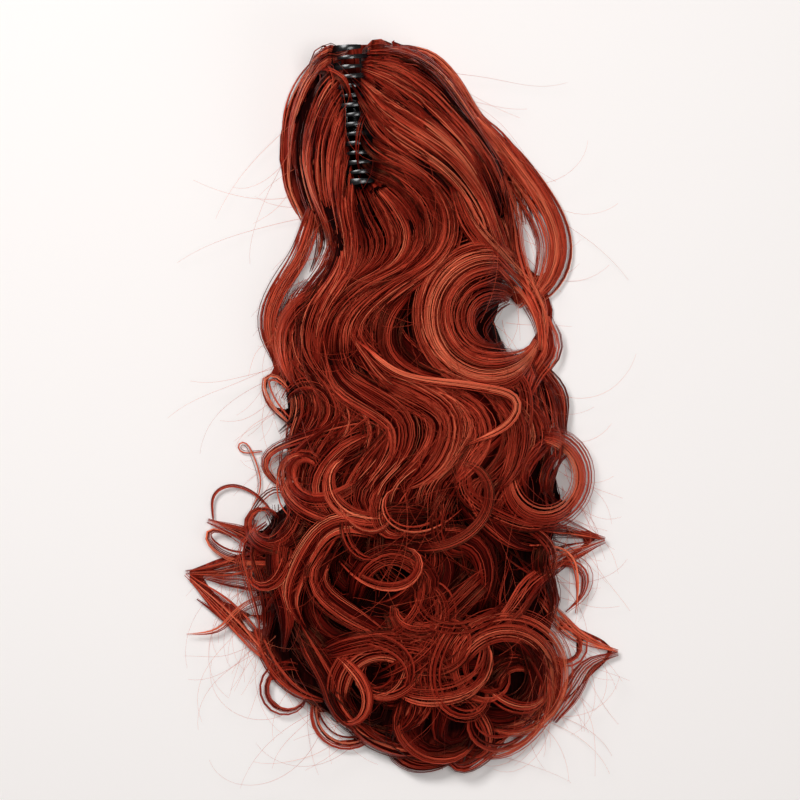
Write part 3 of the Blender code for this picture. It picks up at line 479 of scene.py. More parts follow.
middleWave = {
    "first": (0.96, 0.92, (29, 40), (30, 45), (35.5, 49.5), (38.5, 53.5), (35, 57.5), (31.5, 62), (34, 66)),
    "second": (0.99, 0.94, (37, 42), (40.6, 47.5), (47.5, 49.5), (49.8, 53), (47.5, 57), (42.5, 61),
        (43, 66)),
    "third": (1.00, 0.95, (40, 40.5), (49.8, 46.7), (57.5, 48.4), (62, 52), (58.5, 56), (51, 60),
        (49.5, 65)),
    "fourth": (0.98, 0.94, (48, 42.5), (57, 46), (67, 48.4), (73, 52), (69, 57), (62.3, 60.5), (61, 65)),
    "fifth": (0.92, 0.86, (66, 46), (76, 47.5), (83, 51), (83.5, 55.5), (77.2, 59), (72.6, 62.5), (74, 67)),
}
leftWave = {
    "first": (0.74, 0.70, (21.5, 35.5), (19.5, 39.3), (21.8, 44), (25, 49), (23.5, 54.5), (27, 59)),
    "second": (0.92, 0.88, (27.5, 34), (23.5, 38), (24.7, 43), (30.4, 47), (32, 51), (28, 55), (26, 60),
        (28, 64)),
    "third": (0.98, 0.94, (34, 35), (29.2, 39.3), (31.5, 44), (37, 48), (39.5, 52), (35, 56.2),
        (31.5, 60.5), (34, 65)),
}


# Strands: thin tubes of three sides

strandForm = {
    "radius": (0.7, 1.2),  # least and most, as shares of hairForm's
    "tip": (0.8, 0.6, 0.3),
    "lockRoot": 0.6,
    "toneStep": 0.006,  # of the UV map, from one corner of a strand to the next
    "tones": (0.02, 0.96),  # darkest and lightest
    "rimTone": 0.14,  # strands at the mass's edge catch more light
    "rimStart": 0.82,
    "rimWidth": 0.18,
}


def tubeMesh(name, rings, places, material, body=None):
    points, quads, ends = [], [], []
    count = 0
    for ring, spot in zip(rings, places):
        n, sides = ring.shape[:2]
        points.append(ring.reshape(-1, 3))
        base = count + np.arange(n - 1)[:, None] * sides
        j = np.arange(sides)[None, :]
        k = (j + 1) % sides
        square = np.stack([base + j, base + sides + j, base + sides + k, base + k], axis=2)
        corner = np.broadcast_to(np.stack([j, j, j + 1, j + 1], axis=2), square.shape)
        row = np.broadcast_to(np.arange(n - 1)[:, None, None] + np.array([0, 1, 1, 0]), square.shape)
        quads.append((square.reshape(-1, 4), spot[row, corner].reshape(-1, 2)))
        last = count + sides * (n - 1)
        for first, order, side in ((count, range(sides), 0), (last, range(sides - 1, -1, -1), n - 1)):
            ends.append((np.array([first + m for m in order]), spot[side, list(order)]))
        count += n * sides
    points = np.concatenate(points)
    corners = np.concatenate([face.ravel() for face, uv in quads + ends]).astype(np.int32)
    uvs = np.concatenate([uv for face, uv in quads + ends])
    quadCount = sum(len(face) for face, uv in quads)
    sizes = np.concatenate([np.full(quadCount, 4), [len(face) for face, uv in ends]]).astype(np.int32)

    data = bpy.data.meshes.new(name)
    data.vertices.add(len(points))
    data.vertices.foreach_set("co", points.astype(np.float32).ravel())
    data.loops.add(len(corners))
    data.loops.foreach_set("vertex_index", corners)
    data.polygons.add(len(sizes))
    data.polygons.foreach_set("loop_start", (np.cumsum(sizes) - sizes).astype(np.int32))
    data.polygons.foreach_set("loop_total", sizes)
    data.update(calc_edges=True)
    data.polygons.foreach_set("use_smooth", np.ones(len(sizes), bool))
    layer = data.uv_layers.new(name="OFBake")
    layer.data.foreach_set("uv", uvs.astype(np.float32).ravel())
    data.materials.append(material)
    piece = bpy.data.objects.new(name, data)
    bpy.context.scene.collection.objects.link(piece)
    if body:
        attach(piece, body)
    print(name, len(rings), "tubes", int((sizes - 2).sum()), "triangles")
    return piece


def strandMesh(name, strands, material, body=None):
    ring = np.radians([90, 210, 330])
    corners = np.arange(4) * strandForm["toneStep"]
    rings, places = [], []
    for path, radius, tone in strands:
        n = len(path)
        tangent = unit(np.gradient(path, axis=0), 1e-12)
        side = unit(np.stack([tangent[:, 1], -tangent[:, 0], np.zeros(n)], axis=1))
        rise = np.cross(side, tangent)
        level = np.cos(ring)[None, :, None] * side[:, None, :]
        spread = level + np.sin(ring)[None, :, None] * rise[:, None, :]
        rings.append(path[:, None, :] + spread * radius[:, None, None])
        across = tone[:, None] + corners[None, :]
        along = (np.arange(n) * hairForm["step"] / hairForm["uvLength"])[:, None]
        places.append(np.stack([across, np.repeat(along, 4, axis=1)], axis=2))
    return tubeMesh(name, rings, places, material, body)


def sideways(route):
    tangent = unit(np.gradient(route, axis=0), 1e-12)
    return np.stack([tangent[:, 1], -tangent[:, 0]], axis=1)


def gentle(count, n, waves, size):  # slow random bends, a row for each strand
    t = np.linspace(0, 1, n)[None, :]
    total = np.zeros((count, n))
    for i in range(1, waves + 1):
        strength = luck.normal(size=(count, 1)) / i
        total += strength * np.sin(2 * math.pi * (i * t * 0.6 + luck.random((count, 1))))
    return total * size


def strandRadius(n, root=1):
    taper = np.ones(n)
    taper[-3:] = strandForm["tip"]
    taper[0] = root
    return hairForm["strand"] * luck.uniform(*strandForm["radius"]) * taper


def rimLight(offset):
    form = strandForm
    return form["rimTone"] * np.clip((np.abs(offset) - form["rimStart"]) / form["rimWidth"], 0, 1)


def liftedPath(flat, height, least):
    return np.concatenate([flat, np.maximum(height, least)[:, None]], axis=1)


# Locks: metres along and into the mass, and shares of a lock's own width
lockForm = {
    "rootReach": 0.014,
    "rootTaper": 0.45,
    "tipReach": 0.024,
    "tipTaper": 0.80,
    "leastWidth": 0.12,
    "rootDive": 0.010,
    "tipDive": 0.008,
    "diveReach": 0.014,
    "looseEdge": 1.05,  # of the mass's half width, past which ends stay up
    "lowLevel": 0.3,  # locks below this pass beside the clip, not over it
    "clipRoom": 0.0238,
    "least": 0.0009,
    "strandsInClump": 4,
    "clumpScatter": 0.16,
    "clumpSpread": (0.03, 0.22),
    "clumpDrift": 0.24,
    "clumpTone": 0.15,
    "clumpBend": 0.07,
    "strandBend": 0.05,
    "strandTone": 0.05,
    "layers": (0.35, 1.0),
    "rootStart": 0.04,  # scatter of the strands' ends, as shares of the lock
    "tipStop": 0.08,
    "looseTone": 0.32,  # the darkest tone of a lock outside the mass
    "tuckedShade": 0.30,
    "layerShade": 0.20,
    "sideShade": 0.10,
    "coreSides": 7,
    "coreWidth": 0.80,
    "coreHeight": 0.35,
}


def lockShape(route, halfWidth, levels):
    form = lockForm
    travelled = travelledAlong(route)
    toTip = travelled[-1] - travelled
    root = np.exp(-(travelled / form["rootReach"]) ** 2)
    tip = np.exp(-(toTip / form["tipReach"]) ** 2)
    ramp = 1 - form["rootTaper"] * root - form["tipTaper"] * tip
    width = halfWidth / 100 * hairForm["width"] * np.clip(ramp, form["leastWidth"], 1)
    tipSink = form["tipDive"] * np.exp(-(toTip / form["diveReach"]) ** 2)
    sink = form["rootDive"] * np.exp(-(travelled / form["diveReach"]) ** 2) + tipSink
    sink = sink * np.clip((form["looseEdge"] - np.abs(massOffset(route))) / 0.2, 0.12, 1)
    level = levels[0] + (levels[1] - levels[0]) * np.linspace(0, 1, len(route))
    return {"route": route, "normal": sideways(route), "width": width, "deep": width * hairForm["flatness"],
            "sink": sink, "level": level}


def bedHeight(middle, points):  # between the mass's height under the lock's middle and under each point
    return 0.45 * middle + 0.55 * massHeight(points)


def lockHeight(shape, points, lift):
    bed = bedHeight(massHeight(shape["route"]), points)
    height = shape["level"] * bed - shape["deep"] - shape["sink"] + lift * shape["deep"]
    above = clearOfClip(points, height, lockForm["clipRoom"])
    return np.maximum(np.where(shape["level"] < lockForm["lowLevel"], height, above), lockForm["least"])


def lockStrands(shape, tone, count):
    form = lockForm
    n = len(shape["route"])
    clumps = max(3, count // form["strandsInClump"])
    own = luck.integers(clumps, size=count)
    place = np.linspace(-0.90, 0.90, clumps) + luck.normal(0, form["clumpScatter"], clumps)
    spread = luck.uniform(*form["clumpSpread"], clumps)
    drift = luck.normal(0, form["clumpDrift"], clumps)
    clumpTone = luck.normal(0, form["clumpTone"], clumps)
    t = np.linspace(0, 1, n)[None, :] - 0.4
    u = (place[own] + luck.normal(0, 1, count) * spread[own])[:, None] + drift[own][:, None] * t
    u = u + gentle(clumps, n, 2, form["clumpBend"])[own] + gentle(count, n, 3, form["strandBend"])
    layer = luck.uniform(*form["layers"], (count, 1))
    curve = np.sqrt(np.clip(1 - np.clip(u, -1, 1) ** 2, 0, 1))
    flat = shape["route"][None] + shape["normal"][None] * (shape["width"][None] * u)[..., None]
    height = lockHeight(shape, flat, (curve * layer) * 1.15 + 0.05)
    offset = massOffset(flat)
    inside = np.clip((1.02 - np.abs(offset)) / 0.2, 0, 1)
    tucked = form["tuckedShade"] * inside * np.clip(shape["sink"] / form["rootDive"], 0, 1)[None, :]
    shadow = tucked + form["layerShade"] * (1 - layer) + form["sideShade"] * (1 - curve) - rimLight(offset)
    ownTone = tone + 0.06 + clumpTone[own][:, None]
    tones = ownTone + luck.normal(0, form["strandTone"], (count, 1)) - shadow
    tones = np.maximum(tones, form["looseTone"] * (1 - inside))
    made = []
    for i in range(count):
        start = int(abs(luck.normal(0, form["rootStart"])) * n)
        stop = n - int(n * abs(luck.normal(0, form["tipStop"])))
        if stop - start < 5:
            continue
        path = np.concatenate([flat[i, start:stop], height[i, start:stop, None]], axis=1)
        radius = strandRadius(len(path), strandForm["lockRoot"])
        made.append((path, radius, np.clip(tones[i, start:stop], *strandForm["tones"])))
    return made


def lockCore(shape):
    form = lockForm
    sides = form["coreSides"]
    angle = -np.linspace(0, 2 * math.pi, sides, endpoint=False) - math.pi / 2
    reach = form["coreWidth"] * np.cos(angle)[None, :]
    lift = form["coreHeight"] * np.sin(angle)[None, :]
    flat = shape["route"][:, None] + shape["normal"][:, None] * (shape["width"][:, None] * reach)[..., None]
    bed = bedHeight(massHeight(shape["route"])[:, None], flat)
    down = (shape["deep"] + shape["sink"])[:, None]
    height = shape["level"][:, None] * bed - down + lift * shape["deep"][:, None]
    ring = np.concatenate([flat, np.maximum(height, 0.0006)[..., None]], axis=2)
    n = len(ring)
    across = np.broadcast_to(np.linspace(0.05, 0.95, sides + 1)[None, :], (n, sides + 1))
    along = (luck.uniform(0, 0.4) + np.arange(n) * hairForm["step"] / hairForm["uvLength"])[:, None]
    return ring, np.stack([across, np.broadcast_to(along, across.shape)], axis=2)


# Sheets: metres, and shares of a strand's length
sheetForm = {
    "points": 90,
    "strandsInClump": 6,
    "clumpTone": 0.17,
    "clumpBend": 0.09,
    "strandBend": 0.03,
    "strandTone": 0.06,
    "lateShare": 0.2,  # strands that start below the sheet's root
    "lateStart": (0, 0.35),
    "tipStop": 0.13,
    "tuckReach": 0.006,
    "endReach": 0.014,
    "tipDive": 0.006,
    "lateDive": 0.005,
    "waveLength": 0.085,
    "waveDepth": 0.0030,
    "waveStart": 0.05,
    # painted light on the wave crests and painted shade in the troughs, as a change of tone
    "waveLightAndShade": 0.09,
    "depthShade": 26,  # change of tone for each metre into the mass
    "tuckShade": 18,
    "roof": (0.018, 0.048),  # from the hinge, where thin hair covers the moving jaw's hollow
    "roofEnd": 0.135,
    "roofDepth": 0.0030,
    "clipRoom": 0.0232,
    "clipLayers": (0, 0.0035),
}


def sheetGuides(guides):
    share = np.linspace(0, 1, sheetForm["points"])
    even = []
    for row in guides.values():
        route = fallRoute(row[2:], 0.003)
        own = np.linspace(0, 1, len(route))
        even.append(np.stack([np.interp(share, own, route[:, i]) for i in (0, 1)], axis=1))
    roots = np.array([row[0] for row in guides.values()])
    tips = np.array([row[1] for row in guides.values()])
    return share, np.array(even), roots, tips


def sheetStrands(guides, count, layers, tone, tuck=0.009):
    form = sheetForm
    share, even, roots, tips = sheetGuides(guides)
    n = form["points"]
    index = np.arange(n)
    clumps = count // form["strandsInClump"]
    clumpPlace = np.sort(luck.uniform(0, len(roots) - 1, clumps))
    clumpTone = luck.normal(0, form["clumpTone"], clumps)
    clumpLift = luck.uniform(0, 1, clumps)
    clumpWander = gentle(clumps, n, 2, form["clumpBend"])
    swell = luck.uniform(0, 2 * math.pi)
    made = []
    for i in range(count):
        own = luck.integers(clumps)
        wander = clumpWander[own] + gentle(1, n, 3, form["strandBend"])[0]
        place = np.clip(clumpPlace[own] + luck.normal(0, 0.04) + wander, 0, len(roots) - 1.001)
        low = place.astype(int)
        part = place - low
        route = even[low, index] * (1 - part[:, None]) + even[low + 1, index] * part[:, None]
        level = (roots[low] * (1 - part) + roots[low + 1] * part) * (1 - share)
        level += (tips[low] * (1 - part) + tips[low + 1] * part) * share
        start = 0
        stop = n - int(abs(luck.normal(0, form["tipStop"])) * n)
        if luck.random() < form["lateShare"] or not tuck:
            start = int(luck.uniform(*form["lateStart"]) * n)
        if stop - start < 12:
            continue
        flat = evenSteps(route[start:stop], hairForm["step"])
        m = len(flat)
        deep = layers * (clumpLift[own] * 0.75 + luck.random() * 0.25)
        along = np.interp(np.linspace(0, 1, m), np.linspace(0, 1, stop - start), level[start:stop])
        travelled = np.arange(m) * hairForm["step"]
        sink = form["tipDive"] * np.exp(-((travelled[-1] - travelled) / form["endReach"]) ** 2)
        if start == 0 and tuck:
            sink = sink + tuck * np.exp(-(travelled / form["tuckReach"]) ** 2)
        elif start:
            sink = sink + form["lateDive"] * np.exp(-(travelled / form["endReach"]) ** 2)
        crest = np.sin(2 * math.pi * (travelled / form["waveLength"] + clumpPlace[own] * 0.35) + swell)
        fade = np.clip(travelled / form["waveStart"], 0, 1)
        relief = form["waveDepth"] * (crest - 1) * fade
        surface = massHeight(flat) * along
        height = surface - deep + relief
        aside = clipPlace(flat)[1]
        beside = (aside > form["roof"][0]) & (aside < form["roof"][1])
        roof = beside & (flat[:, 1] > form["roofEnd"])
        height = np.where(roof, np.maximum(height, surface - form["roofDepth"] + 0.3 * relief), height)
        height = clearOfClip(flat, height, form["clipRoom"] + luck.uniform(*form["clipLayers"]))
        height = height - sink + gentle(1, m, 3, 0.0008)[0]
        radius = strandRadius(m)
        tones = tone + clumpTone[own] + luck.normal(0, form["strandTone"])
        tones = tones - deep * form["depthShade"] - sink * form["tuckShade"]
        # painted light on the crests and painted shade in the troughs of the waves
        tones = tones + form["waveLightAndShade"] * crest * fade + rimLight(massOffset(flat))
        made.append((liftedPath(flat, height, 0.0008), radius, np.clip(tones, *strandForm["tones"])))
    return made


# Flow: the direction in which hair lies anywhere on the mass, from the routes of the locks round it

flowForm = {
    "cell": 0.004,
    "halfWidth": 0.16,
    "halfLength": 0.264,
    "blur": 0.005,
    "edge": 0.99,
    "turn": 0.86,  # the sharpest bend of a lock, as a cosine from step to step
}


def flowGrid(routes):
    spots = np.concatenate([route[:-1] for route in routes])
    steps = unit(np.concatenate([np.diff(route, axis=0) for route in routes]), 1e-12)
    x = np.arange(-flowForm["halfWidth"], flowForm["halfWidth"] + 0.001, flowForm["cell"])
    y = np.arange(-flowForm["halfLength"], flowForm["halfLength"] + 0.001, flowForm["cell"])
    gridX, gridY = np.meshgrid(x, y, indexing="ij")
    flow = np.zeros((*gridX.shape, 2))
    for i in range(len(x)):
        away = (gridX[i][:, None] - spots[None, :, 0]) ** 2 + (gridY[i][:, None] - spots[None, :, 1]) ** 2
        weight = 1 / (away + flowForm["blur"] ** 2) ** 2
        flow[i] = weight @ steps
    for i in range(3):
        around = flow[:-2, 1:-1] + flow[2:, 1:-1] + flow[1:-1, :-2] + flow[1:-1, 2:]
        flow[1:-1, 1:-1] = around / 8 + flow[1:-1, 1:-1] / 2
    return x, y, unit(flow)


def flowAt(grid, points):
    x, y, flow = grid
    i = np.clip(np.round((points[..., 0] - x[0]) / flowForm["cell"]).astype(int), 0, len(x) - 1)
    j = np.clip(np.round((points[..., 1] - y[0]) / flowForm["cell"]).astype(int), 0, len(y) - 1)
    return flow[i, j]


def onMass(spots):
    run = []
    for spot in spots:
        between = hairForm["frontEnd"] < spot[1] < hairForm["clipEnd"]
        if abs(massOffset(spot)) > flowForm["edge"] or overClip(spot) or not between:
            break
        run.append(spot)
    return run


def flowRoutes(grid, seeds, lengths):
    ways = {1: [], -1: []}  # with the flow and against it
    for sign, spots in ways.items():
        here = seeds.copy()
        heading = flowAt(grid, here) * sign
        for i in range(int(max(lengths) / 2 / flowForm["cell"])):
            here = here + heading * flowForm["cell"]
            heading = unit(0.55 * heading + 0.45 * sign * flowAt(grid, here))
            spots.append(here.copy())
    routes = []
    for i, length in enumerate(lengths):
        count = int(length / 2 / flowForm["cell"])
        forwards = onMass([here[i] for here in ways[1][:count]])
        backwards = onMass([here[i] for here in ways[-1][:count]])
        route = [*reversed(backwards), seeds[i], *forwards]
        if len(route) < 10:
            continue
        route = smoothed(np.array(route), 6)
        turn = unit(np.diff(route, axis=0))
        if (np.sum(turn[1:] * turn[:-1], axis=1) > flowForm["turn"]).all():
            routes.append(evenSteps(route, hairForm["step"]))
    return routes


def bentPath(start, heading, length, firstBend, lastBend, step):
    n = max(8, int(length / step))
    t = np.linspace(0, 1, n)
    bend = firstBend + (lastBend - firstBend) * t ** 2
    direction = heading + np.cumsum(bend) * length / n + gentle(1, n, 2, 0.12)[0]
    steps = np.stack([np.cos(direction), np.sin(direction)], axis=1) * (length / n)
    return start + np.cumsum(steps, axis=0)


def flowHeading(grid, start, scatter):
    flow = flowAt(grid, start)
    return math.atan2(flow[1], flow[0]) + luck.normal(0, scatter)


# Flyaway hairs round the edge
strayForm = {
    "margin": 0.012,  # past the solid's box, on each side
    "upperShare": 0.45,
    "upperDown": (2, 60),
    "lowerDown": (55, 97),
    "inwards": (-1, 6),
    "outwards": (-0.2, 1.5),
    "bend": (2, 30),
    "length": (0.03, 0.11),
    "step": 0.005,
    "clipWidth": 0.045,  # kept free beside the clip
    "clipStart": 0.14,
    "height": (0.003, 0.03),
    "radii": (0.00013, 0.00006),
    "tones": (0.7, 0.95),
}


def strayStrands(count):
    form = strayForm
    made = []
    low = np.array(cadBounds[0])[:2] - form["margin"]
    high = np.array(cadBounds[1])[:2] + form["margin"]
    while len(made) < count:
        upper = luck.random() < form["upperShare"]
        down = luck.uniform(*form["upperDown" if upper else "lowerDown"])
        side = 1 if luck.random() < 0.5 else -1
        edge = np.interp(down, sections[:, 0], sections[:, 2 if side > 0 else 1])
        start = atShares(edge - side * luck.uniform(*form["inwards"]), down)
        heading = -math.pi / 2 + luck.uniform(*form["outwards"]) * side
        bend = luck.uniform(*form["bend"]) * (1 if luck.random() < 0.35 else -1) * side
        length = luck.uniform(*form["length"])
        flat = bentPath(start, heading, length, bend * 0.6, bend * 1.5, form["step"])
        besideClip = (np.abs(clipPlace(flat)[1]) < form["clipWidth"]) & (flat[:, 1] > form["clipStart"])
        if (flat < low).any() or (flat > high).any() or besideClip.any():
            continue
        n = len(flat)
        path = liftedPath(flat, luck.uniform(*form["height"]) + gentle(1, n, 2, 0.004)[0], 0.0006)
        tones = np.full(n, luck.uniform(*form["tones"]))
        made.append((path, np.linspace(*form["radii"], n), tones))
    return made


# Single hairs that lie across the locks
looseForm = {
    "across": (14, 88),
    "down": (1, 95),
    "edge": 0.95,
    "turn": 0.35,
    "bend": 22,
    "curl": 25,
    "length": (0.04, 0.12),
    "step": 0.006,
    "lift": (-0.001, 0.004),
    "clipRoom": 0.0245,
    "radius": 0.00013,
    "tones": (0.4, 0.75),
}


def looseStrands(grid, count):
    form = looseForm
    made = []
    while len(made) < count:
        start = atShares(luck.uniform(*form["across"]), luck.uniform(*form["down"]))
        if abs(massOffset(start)) > form["edge"]:
            continue
        heading = flowHeading(grid, start, form["turn"])
        bend = luck.normal(0, form["bend"])
        length = luck.uniform(*form["length"])
        flat = bentPath(start, heading, length, bend, bend + luck.normal(0, form["curl"]), form["step"])
        if (np.abs(massOffset(flat)) > 1.02).any() or (np.abs(flat[:, 1]) > 0.255).any():
            continue
        n = len(flat)
        lift = luck.uniform(*form["lift"]) + gentle(1, n, 2, 0.001)[0]
        path = liftedPath(flat, clearOfClip(flat, massHeight(flat) * 0.99, form["clipRoom"]) + lift, 0.001)
        made.append((path, np.full(n, form["radius"]), np.full(n, luck.uniform(*form["tones"]))))
    return made


# Materials

fibre = {
    "darkest": "120101",
    "dark": "3E0706",
    "middle": "861D13",
    "bright": "D04B34",
    "brightest": "F58862",
    "glint": "FF8C64",
    "roughness": 0.30,
    "gloss": 0.46,
    "shades": 60.0,  # changes of shade from the darkest strands to the lightest
    "streak": 42.86,  # millimetres along a strand
}


def fibreMaterial():
    # Drawn smooth and dyed through, so each hair has a long bright streak of light and a copper glint
    made, tree, shader = newMaterial("heat-resistant synthetic fibre")
    place = addNode(tree, "ShaderNodeUVMap", settings={"uv_map": "OFBake"})
    split = addNode(tree, "ShaderNodeSeparateXYZ", links={"Vector": place.outputs["UV"]})
    multiply = {"operation": "MULTIPLY"}
    across = addNode(tree, "ShaderNodeMath", {1: fibre["shades"]}, {0: split.outputs["X"]}, multiply)
    length = hairForm["uvLength"] * patternScale(fibre["streak"])
    along = addNode(tree, "ShaderNodeMath", {1: length}, {0: split.outputs["Y"]}, multiply)
    spot = addNode(tree, "ShaderNodeCombineXYZ", links={"X": across.outputs[0], "Y": along.outputs[0]})
    stops = ((0.0, fibre["darkest"]), (0.25, fibre["dark"]), (0.5, fibre["middle"]),
             (0.75, fibre["bright"]), (1.0, fibre["brightest"]))
    streak, ramp = patternFinish(tree, shader, spot.outputs[0], {"Scale": 1.0, "Detail": 3.0}, stops)
    subtract = {"operation": "SUBTRACT"}
    shift = addNode(tree, "ShaderNodeMath", {1: 0.5}, {0: streak.outputs["Fac"]}, subtract)
    links = {0: shift.outputs[0], 2: split.outputs["X"]}
    swing = addNode(tree, "ShaderNodeMath", {1: 0.5}, links, {"operation": "MULTIPLY_ADD"})
    tree.links.new(swing.outputs[0], ramp.inputs["Fac"])
    glint = linearColour(fibre["glint"])
    finish = {"Roughness": fibre["roughness"], "Specular IOR Level": fibre["gloss"], "Specular Tint": glint}
    setValues(shader, finish)
    return made


def lockCoreMaterial():
    # The same fibre, inside a lock: packed hairs in each other's shade, so it is dark, ribbed and nearly matt
    made, tree, shader = newMaterial("heat-resistant fibre, inside of a lock")
    place = addNode(tree, "ShaderNodeUVMap", settings={"uv_map": "OFBake"})
    hairsRound = 90
    hairLength = hairForm["uvLength"] * patternScale(66.667)
    scale = {"Scale": (hairsRound, hairLength, 1)}
    turn = addNode(tree, "ShaderNodeMapping", scale, {"Vector": place.outputs["UV"]})
    stops = ((0.38, fibre["darkest"]), (0.55, fibre["dark"]), (0.75, fibre["middle"]))
    groove = {"Strength": 0.7, "Distance": 0.0006}
    patternFinish(tree, shader, turn.outputs[0], {"Scale": 1.0, "Detail": 4.0}, stops, groove)
    glint = linearColour(fibre["glint"])
    setValues(shader, {"Roughness": 0.5, "Specular IOR Level": 0.06, "Specular Tint": glint})
    return made


def underHairMaterial():
    # The hair under the locks: near black, painted shade for the shade between the locks, with a lighter
    # painted shade where locks lie apart.
    # Its streaks are 2.4 mm wide, coarser than hairs, since single hairs are too fine to show.
    made, tree, shader = newMaterial("fibre underlayer in painted shade")
    place = addNode(tree, "ShaderNodeTexCoord")
    scale = {"Scale": (patternScale(2.381), patternScale(26.316), patternScale(5.0))}
    turn = addNode(tree, "ShaderNodeMapping", scale, {"Vector": place.outputs["Object"]})
    wander = {"Scale": patternScale(45.455), "Detail": 2.0}
    bend = addNode(tree, "ShaderNodeTexNoise", wander, {"Vector": place.outputs["Object"]})
    links = {"Color1": bend.outputs["Color"], "Color2": turn.outputs[0]}
    mix = addNode(tree, "ShaderNodeMixRGB", {"Fac": 0.985}, links)
    # painted shade: near-black streaks where the locks above shade the underlayer
    stops = ((0.3, "0C0101"), (0.6, "1E0303"), (0.8, "3A0A06"))
    groove = {"Strength": 0.8, "Distance": 0.0008}
    streak, ramp = patternFinish(tree, shader, mix.outputs[0], {"Scale": 1.0, "Detail": 4.0}, stops, groove)
    # a lighter painted shade, for where locks lie apart
    light = addNode(tree, "ShaderNodeValToRGB", links={"Fac": streak.outputs["Fac"]})
    setRamp(light, ((0.3, "4A0E08"), (0.55, "86261A"), (0.75, "B44030")))
    # The attribute is 1 where locks lie apart, and there the lighter painted shade is used
    loose = addNode(tree, "ShaderNodeAttribute", settings={"attribute_name": "loose"})
    links = {"Fac": loose.outputs["Fac"], "Color1": ramp.outputs["Color"], "Color2": light.outputs["Color"]}
    colour = addNode(tree, "ShaderNodeMixRGB", links=links)
    tree.links.new(colour.outputs["Color"], shader.inputs["Base Color"])
    setValues(shader, {"Roughness": 0.7, "Specular IOR Level": 0.02})
    return made


def plasticMaterial():
    # Moulded against polished steel, so it shows sharp reflections, broken a little by a slight ripple
    made, tree, shader = newMaterial("moulded ABS, gloss black")
    place = addNode(tree, "ShaderNodeTexCoord")
    ripple = {"Scale": patternScale(1.111), "Detail": 2.0}
    groove = {"Strength": 0.12, "Distance": 0.0001}
    patternFinish(tree, shader, place.outputs["Object"], ripple, ((0.3, "0A0A0C"), (0.7, "141416")), groove)
    setValues(shader, {"Roughness": 0.23})
    return made


def steelMaterial():
    # Drawn through a die, so it is bright, with faint marks. They are 0.667 mm wide, coarser than real ones.
    made, tree, shader = newMaterial("drawn spring steel")
    place = addNode(tree, "ShaderNodeTexCoord")
    marks = {"Scale": patternScale(0.6667), "Detail": 1.0}
    patternFinish(tree, shader, place.outputs["Object"], marks, ((0.3, "9A9A9C"), (0.7, "C4C4C6")))
    setValues(shader, {"Metallic": 1.0, "Roughness": 0.28})
    return made


def weftMaterial():
    # A sewn band: matt threads side by side, darker where the stitches pull in. One pattern gives both the
    # relief and the colour, so that darkening in the grooves is painted shade.
    made, tree, shader = newMaterial("stitched polyester weft")
    place = addNode(tree, "ShaderNodeTexCoord")
    scale = {"Scale": (patternScale(3.333), patternScale(0.8333), patternScale(0.8333))}
    turn = addNode(tree, "ShaderNodeMapping", scale, {"Vector": place.outputs["Object"]})
    weave = {"Scale": 1.0, "Detail": 2.0}
    groove = {"Strength": 0.6, "Distance": 0.0004}
    patternFinish(tree, shader, turn.outputs[0], weave, ((0.3, "2A0B08"), (0.7, "5A1C12")), groove)
    setValues(shader, {"Roughness": 0.8})
    return made


fibreFinish = fibreMaterial()
coreFinish = lockCoreMaterial()
underFinish = underHairMaterial()


# Clip

clipForm = {
    "mergeDistance": 0.00002,
    "flatAngle": 1,
    "softEdge": 0.0005,
    "edgeAngle": 35,
    "smoothAngle": 40,
}


def nodeCopy(node, name):
    piece = bpy.data.objects.new(name, frame["nodes"][node].data.copy())
    bpy.context.scene.collection.objects.link(piece)
    work = bmesh.new()
    work.from_mesh(piece.data)
    bmesh.ops.remove_doubles(work, verts=work.verts, dist=clipForm["mergeDistance"])
    return piece, work


def softenedCopy(node, name, finish, body):
    form = clipForm
    piece, work = nodeCopy(node, name)
    flat = math.radians(form["flatAngle"])
    bmesh.ops.dissolve_limit(work, angle_limit=flat, verts=work.verts, edges=work.edges)
    work.to_mesh(piece.data)
    work.free()
    makeActive(piece)
    bevel = piece.modifiers.new("softEdge", "BEVEL")
    bevel.width = form["softEdge"]
    bevel.segments = 2
    bevel.limit_method = "ANGLE"
    bevel.angle_limit = math.radians(form["edgeAngle"])
    bpy.ops.object.modifier_apply(modifier=bevel.name)
    bpy.ops.object.shade_smooth_by_angle(angle=math.radians(form["smoothAngle"]))
    piece.data.materials.clear()
    piece.data.materials.append(finish)
    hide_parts(node)
    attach(piece, body)
    return piece


plastic = plasticMaterial()
steel = steelMaterial()
sewn = weftMaterial()
softenedCopy("jaw_left", "leftJaw", plastic, "root")
softenedCopy("jaw_right", "rightJaw", plastic, "right_jaw")
for node, finish in (("hinge_pin", steel), ("spring", steel), ("weft_left", sewn), ("weft_right", sewn)):
    frame["nodes"][node].data.materials.clear()
    frame["nodes"][node].data.materials.append(finish)
print("clip ready")


# Hair

underForm = {
    "looseEdge": 0.97,  # past this share of the mass's half width, locks lie apart
    "frontEnd": -0.245,
    "clipEnd": 0.247,
    "hollowEnd": 0.135,  # the clip's hollow keeps its height past this place
    "hollowFade": 0.03,
    "movingSide": 0.036,  # the opened jaw passes under the hair up to here, so that stays high too
    "stillSide": 0.021,
    "sideFade": 0.012,
    "inwards": 0.0030,
    "lowered": 0.10,
    "looseHeight": 0.45,
}


def fadeShare(distance, reach):
    return min(1, max(0, distance / reach))


